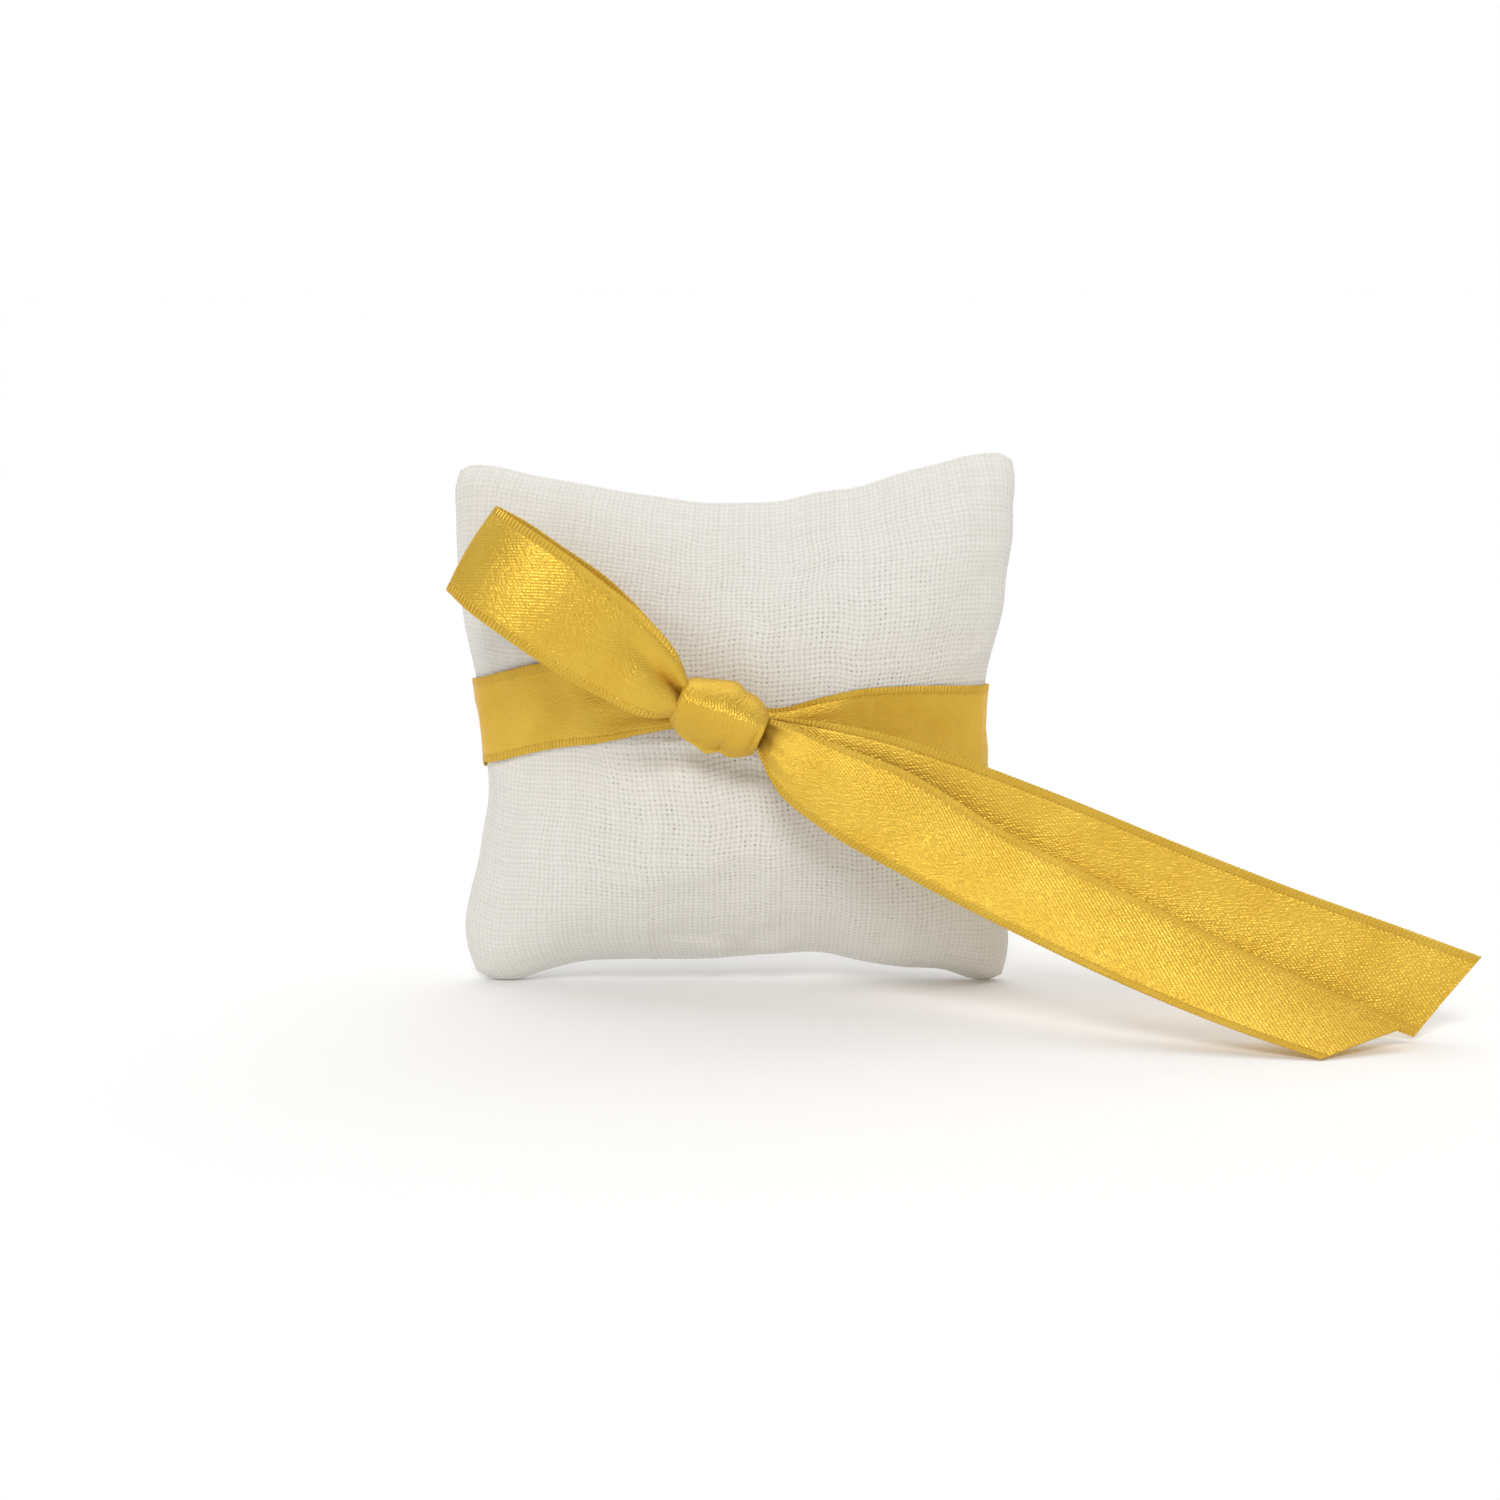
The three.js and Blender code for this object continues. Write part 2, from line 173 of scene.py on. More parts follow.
@dataclass
class Shell:
    """A closed sheet between an outer and an inner grid of points.

    Rows run along the cloth and columns across it. A looped sheet joins its last row to
    its first.
    """

    outer: Points
    inner: Points
    cloth: Points
    looped: bool = False

    def faces(self) -> Points:
        """Returns the corner numbers of every four-sided face, outwards all round."""
        rows, columns = self.outer.shape[:2]
        ids = np.arange(rows * columns).reshape(rows, columns)
        if self.looped:
            ids = np.vstack([ids, ids[:1]])
        a, b = ids[:-1, :-1].ravel(), ids[:-1, 1:].ravel()
        c, d = ids[1:, 1:].ravel(), ids[1:, :-1].ravel()
        skip = rows * columns
        parts = [np.stack([a, b, c, d], 1), np.stack([a, d, c, b], 1) + skip]
        left, right = ids[:, 0], ids[:, -1]
        parts.append(np.stack([left[:-1], left[1:], left[1:] + skip, left[:-1] + skip], 1))
        parts.append(np.stack([right[:-1], right[:-1] + skip, right[1:] + skip, right[1:]], 1))
        if not self.looped:
            low, top = ids[0], ids[-1]
            parts.append(np.stack([low[:-1], low[:-1] + skip, low[1:] + skip, low[1:]], 1))
            parts.append(np.stack([top[:-1], top[1:], top[1:] + skip, top[:-1] + skip], 1))
        return np.concatenate(parts)

    def build(self, name: str, place: Place, **shares: Points) -> bpy.types.Object:
        """Makes the piece.

        Args:
            name: The piece's name.
            place: Turns millimetres into the row's metres.
            **shares: A number for each grid point, stored under its name.

        Returns:
            The new object.
        """
        points = np.concatenate([self.outer.reshape(-1, 3), self.inner.reshape(-1, 3)])
        faces = self.faces()
        piece = mesh_piece(name, place.metres(points), faces)
        cloth = np.zeros((len(points), 3))
        cloth[:, :2] = np.tile(self.cloth.reshape(-1, 2), (2, 1))
        vectors = piece.data.attributes.new(CLOTH_MM, "FLOAT_VECTOR", "POINT")
        vectors.data.foreach_set("vector", cloth.astype(np.float32).ravel())
        for key, values in shares.items():
            numbers = piece.data.attributes.new(key, "FLOAT", "POINT")
            both = np.tile(np.asarray(values, np.float32).ravel(), 2)
            numbers.data.foreach_set("value", both)
        self._lay_out(piece, faces)
        return piece

    def _lay_out(self, piece: bpy.types.Object, faces: Points) -> None:
        """Lays the two sides flat, one above the other, with the length to the right."""
        rows, columns = self.outer.shape[:2]
        along = np.repeat(np.linspace(0, 1, rows + self.looped)[:rows], columns)
        across = np.tile(np.linspace(0, 1, columns), rows)
        flat = np.concatenate(
            [
                np.stack([along, 0.01 + across * 0.47], 1),
                np.stack([along, 0.52 + across * 0.47], 1),
            ]
        )
        corners = flat[faces]
        wraps = self.looped & (np.ptp(corners[..., 0], axis=1) > 0.5)
        corners[..., 0] += wraps[:, None] * (corners[..., 0] < 0.5)
        layer = piece.data.uv_layers.new(name=UV_MAP)
        layer.uv.foreach_set("vector", corners.astype(np.float32).ravel())


def mesh_piece(name: str, points: Points, faces: Points | list[list[int]]) -> bpy.types.Object:
    """Makes a smooth mesh object from points in metres and faces."""
    mesh = bpy.data.meshes.new(name)
    corners = faces.tolist() if isinstance(faces, np.ndarray) else faces
    mesh.from_pydata(points.tolist(), [], corners)
    mesh.validate()
    mesh.polygons.foreach_set("use_smooth", np.ones(len(mesh.polygons), bool))
    mesh.set_sharp_from_angle(angle=math.radians(60))
    piece = bpy.data.objects.new(name, mesh)
    bpy.context.scene.collection.objects.link(piece)
    return piece


def tube(path: Points, radius: float, sides: int = 8) -> tuple[Points, list[list[int]]]:
    """Makes a closed round thread.

    Args:
        path: The points that the thread's middle passes.
        radius: The thread's radius.
        sides: How many flats it has.

    Returns:
        Its points and its faces.
    """
    ahead = unit(np.gradient(path, axis=0))
    side = unit(np.cross(ahead, [0.0, 1.0, 0.001]))
    lift = np.cross(side, ahead)
    turn = np.linspace(0, 2 * np.pi, sides, endpoint=False)
    ring = (
        path[:, None]
        + radius * np.cos(turn)[None, :, None] * side[:, None]
        + radius * np.sin(turn)[None, :, None] * lift[:, None]
    )
    ids = np.arange(len(path) * sides).reshape(len(path), sides)
    on = np.roll(ids, -1, axis=1)
    quads = np.stack([ids[:-1], on[:-1], on[1:], ids[1:]], -1).reshape(-1, 4)
    points = np.concatenate([ring.reshape(-1, 3), path[[0, -1]]])
    first, last = len(points) - 2, len(points) - 1
    caps = [[first, int(b), int(a)] for a, b in zip(ids[0], on[0])]
    caps += [[last, int(a), int(b)] for a, b in zip(ids[-1], on[-1])]
    return points, quads.tolist() + caps


# ---------------------------------------------------------------- finishes


def linear(code: str) -> tuple[float, float, float, float]:
    """Returns an sRGB hex colour as linear red, green, blue and 1."""
    parts = [int(code[k : k + 2], 16) / 255 for k in (1, 3, 5)]
    red, green, blue = (p / 12.92 if p <= 0.04045 else ((p + 0.055) / 1.055) ** 2.4 for p in parts)
    return (red, green, blue, 1.0)


def add_node(tree: Any, kind: str, inputs: dict | None = None, **settings: Any) -> Any:
    """Adds one node.

    Args:
        tree: The node tree.
        kind: The node's type, without its ShaderNode prefix.
        inputs: A value or another node's output for each input, by name or number.
        **settings: The node's own settings.

    Returns:
        The node.
    """
    made = tree.nodes.new("ShaderNode" + kind)
    for name, value in settings.items():
        setattr(made, name, value)
    for key, value in (inputs or {}).items():
        if isinstance(value, bpy.types.NodeSocket):
            tree.links.new(value, made.inputs[key])
        else:
            made.inputs[key].default_value = value
    return made


class Finish:
    """A surface finish, made once and put on any number of pieces."""

    name: str = "finish"

    def put_on(self, *pieces: bpy.types.Object) -> None:
        """Gives the pieces this finish alone."""
        made = bpy.data.materials.get(self.name) or self._make()
        for piece in pieces:
            piece.data.materials.clear()
            piece.data.materials.append(made)

    def _make(self) -> bpy.types.Material:
        """Returns the new material."""
        made = bpy.data.materials.new(self.name)
        made.use_nodes = True
        made.node_tree.nodes.clear()
        shader = add_node(made.node_tree, "BsdfPrincipled")
        self.fill(made.node_tree, shader)
        out = add_node(made.node_tree, "OutputMaterial", {"Surface": shader.outputs[0]})
        out.is_active_output = True
        return made

    def fill(self, tree: Any, shader: Any) -> None:
        """Sets the shader and adds the nodes of this finish."""
        raise NotImplementedError


@dataclass(frozen=True)
class WovenCotton(Finish):
    """Bleached cotton and linen cloth in an open plain weave.

    It gives the eye an off-white ground of raised threads that cross over and under, with
    their crowns painted lighter and the gaps between them painted in shade, small holes between
    them where the cloth is stretched, shown dark by painted shade, and slubs along both ways.
    """

    name: str = "woven_cotton_plain"
    thread_spacing: float = 0.58
    # The light colour is painted on the thread crowns and the shade colour into the gaps between threads,
    # as painted light and shade.
    light: str = "#E6E3DC"
    shade: str = "#D5D1C8"
    # The hole colour is painted shade, standing for the dark inside seen through the open weave.
    shaded_hole: str = "#5F574C"
    relief: float = 0.10

    def fill(self, tree: Any, shader: Any) -> None:
        """Sets the shader and adds the weave."""
        cloth = add_node(tree, "Attribute", attribute_name=CLOTH_MM).outputs["Vector"]
        openness = add_node(tree, "Attribute", attribute_name=OPENNESS).outputs["Fac"]
        drift = add_node(tree, "TexNoise", {"Vector": cloth, "Scale": 0.22, "Detail": 3.0})
        nudge = add_node(
            tree,
            "VectorMath",
            {0: drift.outputs["Color"], 1: (0.32, 0.32, 0.0), 2: cloth},
            operation="MULTIPLY_ADD",
        )
        uneven = add_node(tree, "TexNoise", {"Vector": cloth, "Scale": 1.1, "Detail": 2.0})
        nudge = add_node(
            tree,
            "VectorMath",
            {0: uneven.outputs["Color"], 1: (0.22, 0.22, 0.0), 2: nudge.outputs[0]},
            operation="MULTIPLY_ADD",
        )
        split = add_node(tree, "SeparateXYZ", {0: nudge.outputs[0]})
        waves, crests = [], []
        for way in ("X", "Y"):
            phase = add_node(
                tree,
                "Math",
                {0: split.outputs[way], 1: math.pi / self.thread_spacing},
                operation="MULTIPLY",
            )
            wave = add_node(tree, "Math", {0: phase.outputs[0]}, operation="SINE")
            crest = add_node(tree, "Math", {0: wave.outputs[0]}, operation="ABSOLUTE")
            waves.append(wave.outputs[0])
            crests.append(crest.outputs[0])
        over = add_node(tree, "Math", {0: waves[0], 1: waves[1]}, operation="MULTIPLY")
        heights = []
        for crest, sign in zip(crests, (0.42, -0.42)):
            lift = add_node(
                tree, "Math", {0: over.outputs[0], 1: sign, 2: 0.58}, operation="MULTIPLY_ADD"
            )
            round_top = add_node(tree, "Math", {0: crest, 1: 0.55}, operation="POWER")
            height = add_node(
                tree, "Math", {0: round_top.outputs[0], 1: lift.outputs[0]}, operation="MULTIPLY"
            )
            heights.append(height.outputs[0])
        weave = add_node(tree, "Math", {0: heights[0], 1: heights[1]}, operation="MAXIMUM")

        # A hole lies where the gaps of both ways cross, and it opens with the stretch; its darkness is
        # painted shade.
        gap = add_node(tree, "Math", {0: crests[0], 1: crests[1]}, operation="MAXIMUM")
        patches = add_node(tree, "TexNoise", {"Vector": cloth, "Scale": 0.35, "Detail": 2.0})
        single = add_node(tree, "TexNoise", {"Vector": cloth, "Scale": 1.9, "Detail": 1.0})
        opened = add_node(
            tree,
            "MapRange",
            {"Value": patches.outputs["Fac"], 1: 0.35, 2: 0.65, 3: 0.45, 4: 1.0},
        )
        opened = add_node(
            tree, "Math", {0: opened.outputs[0], 1: openness}, operation="MULTIPLY"
        )
        each = add_node(
            tree, "MapRange", {"Value": single.outputs["Fac"], 1: 0.3, 2: 0.7, 3: 0.3, 4: 1.3}
        )
        opened = add_node(
            tree, "Math", {0: opened.outputs[0], 1: each.outputs[0]}, operation="MULTIPLY"
        )
        reach = add_node(
            tree, "Math", {0: opened.outputs[0], 1: 0.62, 2: 0.24}, operation="MULTIPLY_ADD"
        )
        shaded_hole = add_node(
            tree,
            "MapRange",
            {"Value": gap.outputs[0], 1: 0.05, 2: reach.outputs[0], 3: 1.0, 4: 0.0},
            interpolation_type="SMOOTHSTEP",
        )
        hole_seen = add_node(
            tree, "Math", {0: shaded_hole.outputs[0], 1: opened.outputs[0]}, operation="MULTIPLY",
            use_clamp=True,
        )

        # Slubs: thicker yarn that shows as faint streaks along and across.
        tones = []
        for stretch in ((1.9, 0.05, 1.0), (0.05, 1.9, 1.0)):
            drawn = add_node(tree, "VectorMath", {0: cloth, 1: stretch}, operation="MULTIPLY")
            streak = add_node(
                tree, "TexNoise", {"Vector": drawn.outputs[0], "Scale": 1.0, "Detail": 2.0}
            )
            tones.append(streak.outputs["Fac"])
        slubs = add_node(tree, "Math", {0: tones[0], 1: tones[1]}, operation="ADD")
        tone = add_node(
            tree, "MapRange", {"Value": slubs.outputs[0], 1: 0.7, 2: 1.3, 3: -0.22, 4: 0.22}
        )
        # Painted light and shade: the colour runs from the shade colour in the gaps to the light colour
        # on the thread crowns, with the yarn's own slub tone added.
        level = add_node(
            tree, "Math", {0: weave.outputs[0], 1: tone.outputs[0]}, operation="ADD"
        )
        colour = add_node(
            tree,
            "Mix",
            {
                "Factor": level.outputs[0],
                "A": linear(self.shade),
                "B": linear(self.light),
            },
            data_type="RGBA",
        )
        # Painted shade: the holes are mixed towards the dark hole colour.
        dark = add_node(
            tree,
            "Mix",
            {
                "Factor": hole_seen.outputs[0],
                "A": colour.outputs["Result"],
                "B": linear(self.shaded_hole),
            },
            data_type="RGBA",
        )
        # Painted highlights: a few fibres are shown catching the light as small bright specks, painted
        # white into the colour.
        fuzz = add_node(tree, "TexNoise", {"Vector": cloth, "Scale": 4.5, "Detail": 1.0})
        painted_glint = add_node(
            tree, "MapRange", {"Value": fuzz.outputs["Fac"], 1: 0.66, 2: 0.74, 3: 0.0, 4: 0.7}
        )
        dark = add_node(
            tree,
            "Mix",
            {"Factor": painted_glint.outputs[0], "A": dark.outputs["Result"], "B": linear("#FFFFFF")},
            data_type="RGBA",
        )
        tree.links.new(dark.outputs["Result"], shader.inputs["Base Color"])

        high = add_node(
            tree,
            "Math",
            {0: fuzz.outputs["Fac"], 1: 0.35, 2: weave.outputs[0]},
            operation="MULTIPLY_ADD",
        )
        sunk = add_node(tree, "Math", {0: high.outputs[0], 1: hole_seen.outputs[0]}, operation="SUBTRACT")
        bump = add_node(
            tree,
            "Bump",
            {"Height": sunk.outputs[0], "Strength": 0.8, "Distance": self.relief * MM},
        )
        tree.links.new(bump.outputs[0], shader.inputs["Normal"])
        shader.inputs["Roughness"].default_value = 0.85
        shader.inputs["Specular IOR Level"].default_value = 0.3
        shader.inputs["Sheen Weight"].default_value = 0.25
        shader.inputs["Sheen Roughness"].default_value = 0.5


@dataclass(frozen=True)
class SatinRibbon(Finish):
    """Polyester satin ribbon, double faced, woven with stitched edges.

    It gives the eye a deep yellow face of long floats that lie along the ribbon and shine
    in a soft band across them, and duller corded edges behind a narrow groove, with shade
    painted into the groove and between the cord's picks.
    """

    name: str = "polyester_satin_ribbon"
    body: str = "#D4A93B"
    # The second colour is partly painted sheen on the float streaks and partly the dye's own uneven tone.
    sheen_and_dye_tone: str = "#E2BC4C"
    # The deep colour is painted shade, laid into the groove beside each corded edge and between the
    # cord's picks.
    deep: str = "#B5852B"
    shine: str = "#FFD97A"
    edge_pick: float = 0.46
    float_spacing: float = 0.34
    float_slant: float = 24.0
    edge_width: float = 0.85

    def fill(self, tree: Any, shader: Any) -> None:
        """Sets the shader and adds the floats, the groove and the corded edge."""
        cloth = add_node(tree, "Attribute", attribute_name=CLOTH_MM).outputs["Vector"]
        edge = add_node(tree, "Attribute", attribute_name=EDGE_MM).outputs["Fac"]
        # The floats are about 0.05 mm apart, and are drawn coarser so that they show.
        turned = add_node(
            tree,
            "VectorRotate",
            {"Vector": cloth, "Angle": math.radians(-self.float_slant)},
            rotation_type="Z_AXIS",
        )
        drawn = add_node(
            tree, "VectorMath", {0: turned.outputs[0], 1: (1.3, 4.4, 1.0)}, operation="MULTIPLY"
        )
        floats = add_node(
            tree, "TexNoise", {"Vector": drawn.outputs[0], "Scale": 1.0, "Detail": 2.0}
        )
        split = add_node(tree, "SeparateXYZ", {0: cloth})
        slant = add_node(
            tree,
            "Math",
            {0: split.outputs["X"], 1: 0.55, 2: split.outputs["Y"]},
            operation="MULTIPLY_ADD",
        )
        phase = add_node(
            tree,
            "Math",
            {0: slant.outputs[0], 1: 2 * math.pi / self.float_spacing},
            operation="MULTIPLY",
        )
        twill = add_node(tree, "Math", {0: phase.outputs[0]}, operation="SINE")
        pick_phase = add_node(
            tree,
            "Math",
            {0: split.outputs["X"], 1: 2 * math.pi / self.edge_pick},
            operation="MULTIPLY",
        )
        pick = add_node(tree, "Math", {0: pick_phase.outputs[0]}, operation="SINE")
        is_edge = add_node(
            tree,
            "MapRange",
            {"Value": edge, 1: self.edge_width - 0.12, 2: self.edge_width + 0.02, 3: 1.0, 4: 0.0},
        )
        off_groove = add_node(
            tree, "Math", {0: edge, 1: self.edge_width + 0.05}, operation="SUBTRACT"
        )
        off_groove = add_node(tree, "Math", {0: off_groove.outputs[0]}, operation="ABSOLUTE")
        groove = add_node(
            tree, "MapRange", {"Value": off_groove.outputs[0], 1: 0.0, 2: 0.24, 3: 1.0, 4: 0.0}
        )
        face = add_node(
            tree,
            "Math",
            {0: twill.outputs[0], 1: 0.08, 2: floats.outputs["Fac"]},
            operation="MULTIPLY_ADD",
        )
        cord = add_node(
            tree, "Math", {0: pick.outputs[0], 1: 0.38, 2: 0.7}, operation="MULTIPLY_ADD"
        )
        height = add_node(
            tree,
            "Mix",
            {"Factor": is_edge.outputs[0], "A": face.outputs[0], "B": cord.outputs[0]},
            data_type="FLOAT",
        )
        height = add_node(
            tree,
            "Math",
            {0: groove.outputs[0], 1: -0.35, 2: height.outputs[0]},
            operation="MULTIPLY_ADD",
        )
        bump = add_node(
            tree,
            "Bump",
            {"Height": height.outputs[0], "Strength": 0.9, "Distance": 0.14 * MM},
        )
        tree.links.new(bump.outputs[0], shader.inputs["Normal"])

        # Partly painted sheen: the float streaks are painted towards the lighter colour; the broad
        # patches are the dye's own uneven tone.
        broad = add_node(tree, "TexNoise", {"Vector": cloth, "Scale": 0.18, "Detail": 2.0})
        warm = add_node(
            tree, "MapRange", {"Value": broad.outputs["Fac"], 1: 0.35, 2: 0.65, 3: 0.0, 4: 0.45}
        )
        fine = add_node(
            tree,
            "Math",
            {0: floats.outputs["Fac"], 1: 0.45, 2: warm.outputs[0]},
            operation="MULTIPLY_ADD",
        )
        colour = add_node(
            tree,
            "Mix",
            {"Factor": fine.outputs[0], "A": linear(self.body), "B": linear(self.sheen_and_dye_tone)},
            data_type="RGBA",
        )
        # Painted shade: the groove and the gaps between the cord's picks are darkened towards the deep
        # colour.
        between = add_node(
            tree, "MapRange", {"Value": pick.outputs[0], 1: -1.0, 2: 0.2, 3: 0.08, 4: 0.0}
        )
        pick_gap_shade = add_node(
            tree, "Math", {0: between.outputs[0], 1: is_edge.outputs[0]}, operation="MULTIPLY"
        )
        dark = add_node(
            tree,
            "Math",
            {0: groove.outputs[0], 1: 0.14, 2: pick_gap_shade.outputs[0]},
            operation="MULTIPLY_ADD",
        )
        mixed = add_node(
            tree,
            "Mix",
            {
                "Factor": dark.outputs[0],
                "A": colour.outputs["Result"],
                "B": linear(self.deep),
            },
            data_type="RGBA",
        )
        tree.links.new(mixed.outputs["Result"], shader.inputs["Base Color"])
        rough = add_node(
            tree, "MapRange", {"Value": is_edge.outputs[0], 1: 0.0, 2: 1.0, 3: 0.3, 4: 0.36}
        )
        tree.links.new(rough.outputs[0], shader.inputs["Roughness"])
        across = add_node(tree, "Tangent", direction_type="UV_MAP", uv_map=UV_MAP)
        tree.links.new(across.outputs[0], shader.inputs["Tangent"])
        shader.inputs["Anisotropic"].default_value = 0.65
        shader.inputs["Anisotropic Rotation"].default_value = 0.25
        shader.inputs["Metallic"].default_value = 0.42
        shader.inputs["Specular Tint"].default_value = linear(self.shine)
        shader.inputs["Specular IOR Level"].default_value = 0.6
        shader.inputs["Sheen Weight"].default_value = 0.12
        shader.inputs["Sheen Tint"].default_value = linear(self.shine)


@dataclass(frozen=True)
class FibreWadding(Finish):
    """Carded polyester wadding: white crimped fibre that looks soft and matt."""

    name: str = "polyester_wadding"
    light: str = "#F6F4EF"
    shade: str = "#DAD7D0"

    def fill(self, tree: Any, shader: Any) -> None:
        """Sets the shader and adds the crimped fibres."""
        cloth = add_node(tree, "Attribute", attribute_name=CLOTH_MM).outputs["Vector"]
        bend = add_node(tree, "TexNoise", {"Vector": cloth, "Scale": 0.5, "Detail": 2.0})
        moved = add_node(
            tree,
            "VectorMath",
            {0: bend.outputs["Color"], 1: (6.0, 6.0, 0.0), 2: cloth},
            operation="MULTIPLY_ADD",
        )
        fibre = add_node(
            tree, "TexWave", {"Vector": moved.outputs[0], "Scale": 2.2, "Distortion": 6.0}
        )
        colour = add_node(
            tree,
            "Mix",
            {
                "Factor": fibre.outputs["Fac"],
                "A": linear(self.shade),
                "B": linear(self.light),
            },
            data_type="RGBA",
        )
        bump = add_node(
            tree,
            "Bump",
            {"Height": fibre.outputs["Fac"], "Strength": 0.7, "Distance": 0.2 * MM},
        )
        tree.links.new(colour.outputs["Result"], shader.inputs["Base Color"])
        tree.links.new(bump.outputs[0], shader.inputs["Normal"])
        shader.inputs["Roughness"].default_value = 0.95
        shader.inputs["Sheen Weight"].default_value = 0.4


@dataclass(frozen=True)
class SpunThread(Finish):
    """Spun polyester sewing thread: two fine plies twisted round each other, low sheen."""

    name: str = "spun_sewing_thread"
    light: str = "#E9E2D3"
    shade: str = "#B9B09E"
    twist: float = 0.5

    def fill(self, tree: Any, shader: Any) -> None:
        """Sets the shader and adds the twist."""
        here = add_node(tree, "TexCoord").outputs["Object"]
        ply = add_node(
            tree,
            "TexWave",
            {"Vector": here, "Scale": 0.3 / (self.twist * MM), "Distortion": 1.5},
            bands_direction="DIAGONAL",
        )
        colour = add_node(
            tree,
            "Mix",
            {"Factor": ply.outputs["Fac"], "A": linear(self.shade), "B": linear(self.light)},
            data_type="RGBA",
        )
        bump = add_node(
            tree, "Bump", {"Height": ply.outputs["Fac"], "Strength": 0.5, "Distance": 0.05 * MM}
        )
        tree.links.new(colour.outputs["Result"], shader.inputs["Base Color"])
        tree.links.new(bump.outputs[0], shader.inputs["Normal"])
        shader.inputs["Roughness"].default_value = 0.7


@dataclass(frozen=True)
class MattFloor(Finish):
    """Matt white painted board, with a faint tooth."""

    name: str = "matt_white_board"
    paint: str = "#FBFBFB"

    def fill(self, tree: Any, shader: Any) -> None:
        """Sets the shader and adds the tooth."""
        here = add_node(tree, "TexCoord").outputs["Object"]
        tooth = add_node(tree, "TexNoise", {"Vector": here, "Scale": 900.0, "Detail": 2.0})
        colour = add_node(
            tree,
            "Mix",
            {"Factor": tooth.outputs["Fac"], "A": linear("#F9F9F9"), "B": linear(self.paint)},
            data_type="RGBA",
        )
        tree.links.new(colour.outputs["Result"], shader.inputs["Base Color"])
        shader.inputs["Roughness"].default_value = 0.9
        shader.inputs["Specular IOR Level"].default_value = 0.1


# ---------------------------------------------------------------- the pillow


class Side(Enum):
    """The two covers, with the way that each one faces."""

    FRONT = -1
    BACK = 1


@dataclass
class Pillow:
    """Two panels of woven cloth, sewn right sides together, turned, stuffed and closed.

    The panels are blown up from flat by simulation, then drawn to the pillow's outline and
    pinched under the ribbon.
    """

    place: Place
    cut_width: float = 66.0
    cut_height: float = 64.0
    depth: float = 12.0
    cells: int = 64
    refine: int = 2
    cloth_thickness: float = 0.35
    seam_gap: float = 0.02
    pressure: float = 5.0
    travel_limit: float = 20.0
    drift_kept: float = 0.3
    plain_share: float = 0.55
    fullness: float = 0.5
    seam_wave: float = 0.13
    frames: int = 24
    middle: tuple[float, float, float] = (0.0, 0.0, 29.6)
    top: Line = field(
        default_factory=lambda: [
            (-31.1, 0, 58.9), (-30.1, 0, 59.5), (-28.0, 0, 59.6), (-23.7, 0, 58.7),
            (-19.0, 0, 57.7), (-10.0, 0, 56.1), (-2.0, 0, 55.3), (4.0, 0, 55.5),
            (13.0, 0, 57.1), (22.0, 0, 59.6), (27.5, 0, 60.8), (29.8, 0, 60.8),
            (31.0, 0, 60.0),
        ]
    )
    bottom: Line = field(
        default_factory=lambda: [
            (-30.1, 0, 1.1), (-28.4, 0, 0.2), (-26.0, 0, 0.0), (-22.5, 0, 1.1),
            (-19.0, 0, 2.0), (-12.0, 0, 2.5), (-4.0, 0, 2.4), (4.0, 0, 3.0),
            (10.0, 0, 3.3), (14.0, 0, 2.4), (19.0, 0, 1.6), (24.0, 0, 1.2),
            (27.0, 0, 0.2), (29.0, 0, 0.0), (30.6, 0, 0.7),
        ]
    )
    left: Line = field(
        default_factory=lambda: [
            (-30.1, 0, 1.1), (-30.9, 0, 3.5), (-31.2, 0, 7.0), (-30.6, 0, 10.5),
            (-29.0, 0, 17.5), (-28.7, 0, 24.5), (-29.3, 0, 30.0), (-30.1, 0, 35.0),
            (-30.8, 0, 39.0), (-31.5, 0, 47.0), (-31.8, 0, 54.0), (-31.7, 0, 57.3),
            (-31.1, 0, 58.9),
        ]
    )
    right: Line = field(
        default_factory=lambda: [
            (30.6, 0, 0.7), (31.2, 0, 3.0), (30.9, 0, 9.0), (29.8, 0, 16.0),
            (28.6, 0, 24.0), (28.3, 0, 30.0), (28.6, 0, 35.5), (29.6, 0, 41.0),
            (30.7, 0, 47.5), (31.3, 0, 54.0), (31.4, 0, 58.2), (31.0, 0, 60.0),
        ]
    )
    grids: dict[Side, Points] = field(default_factory=dict)

    def shape(self) -> None:
        """Blows the panels up, draws them to the outline and keeps them for the ribbon."""
        blown = self._by_simulation()
        for side, grid in blown.items():
            self.grids[side] = finer(self._to_outline(grid, side), self.refine)

    def _steps(self) -> tuple[Points, Points]:
        """Returns each grid point's share across and along, from -1 to 1."""
        steps = np.linspace(-1, 1, self.cells + 1)
        return np.meshgrid(steps, steps)

    def _flat(self, bulge: float) -> dict[Side, Points]:
        """Returns both panels as cut, with a slight swell of the given depth."""
        across, along = self._steps()
        swell = ((1 - across**2) * (1 - along**2)) ** 0.6 * bulge
        x, z = across * self.cut_width / 2, along * self.cut_height / 2
        return {side: np.stack([x, side.value * swell, z], -1) for side in Side}

    def _by_simulation(self) -> dict[Side, Points]:
        """Returns both panels blown up from flat as real cloth with pressure inside.

        The cloth is simulated at ten times its size, where the solver is steady.
        """
        size = 10 * MM
        flat = self._flat(2.0)
        count = self.cells + 1
        front_ids = np.arange(count * count).reshape(count, count)
        back_ids = front_ids.copy()
        inside = np.zeros_like(front_ids, bool)
        inside[1:-1, 1:-1] = True
        back_ids[inside] = count * count + np.arange(inside.sum())
        start = np.concatenate([flat[Side.FRONT].reshape(-1, 3), flat[Side.BACK][inside]])

        def quads(ids: Points) -> Points:
            """Returns the faces of one panel."""
            return np.stack(
                [ids[:-1, :-1], ids[:-1, 1:], ids[1:, 1:], ids[1:, :-1]], -1
            ).reshape(-1, 4)

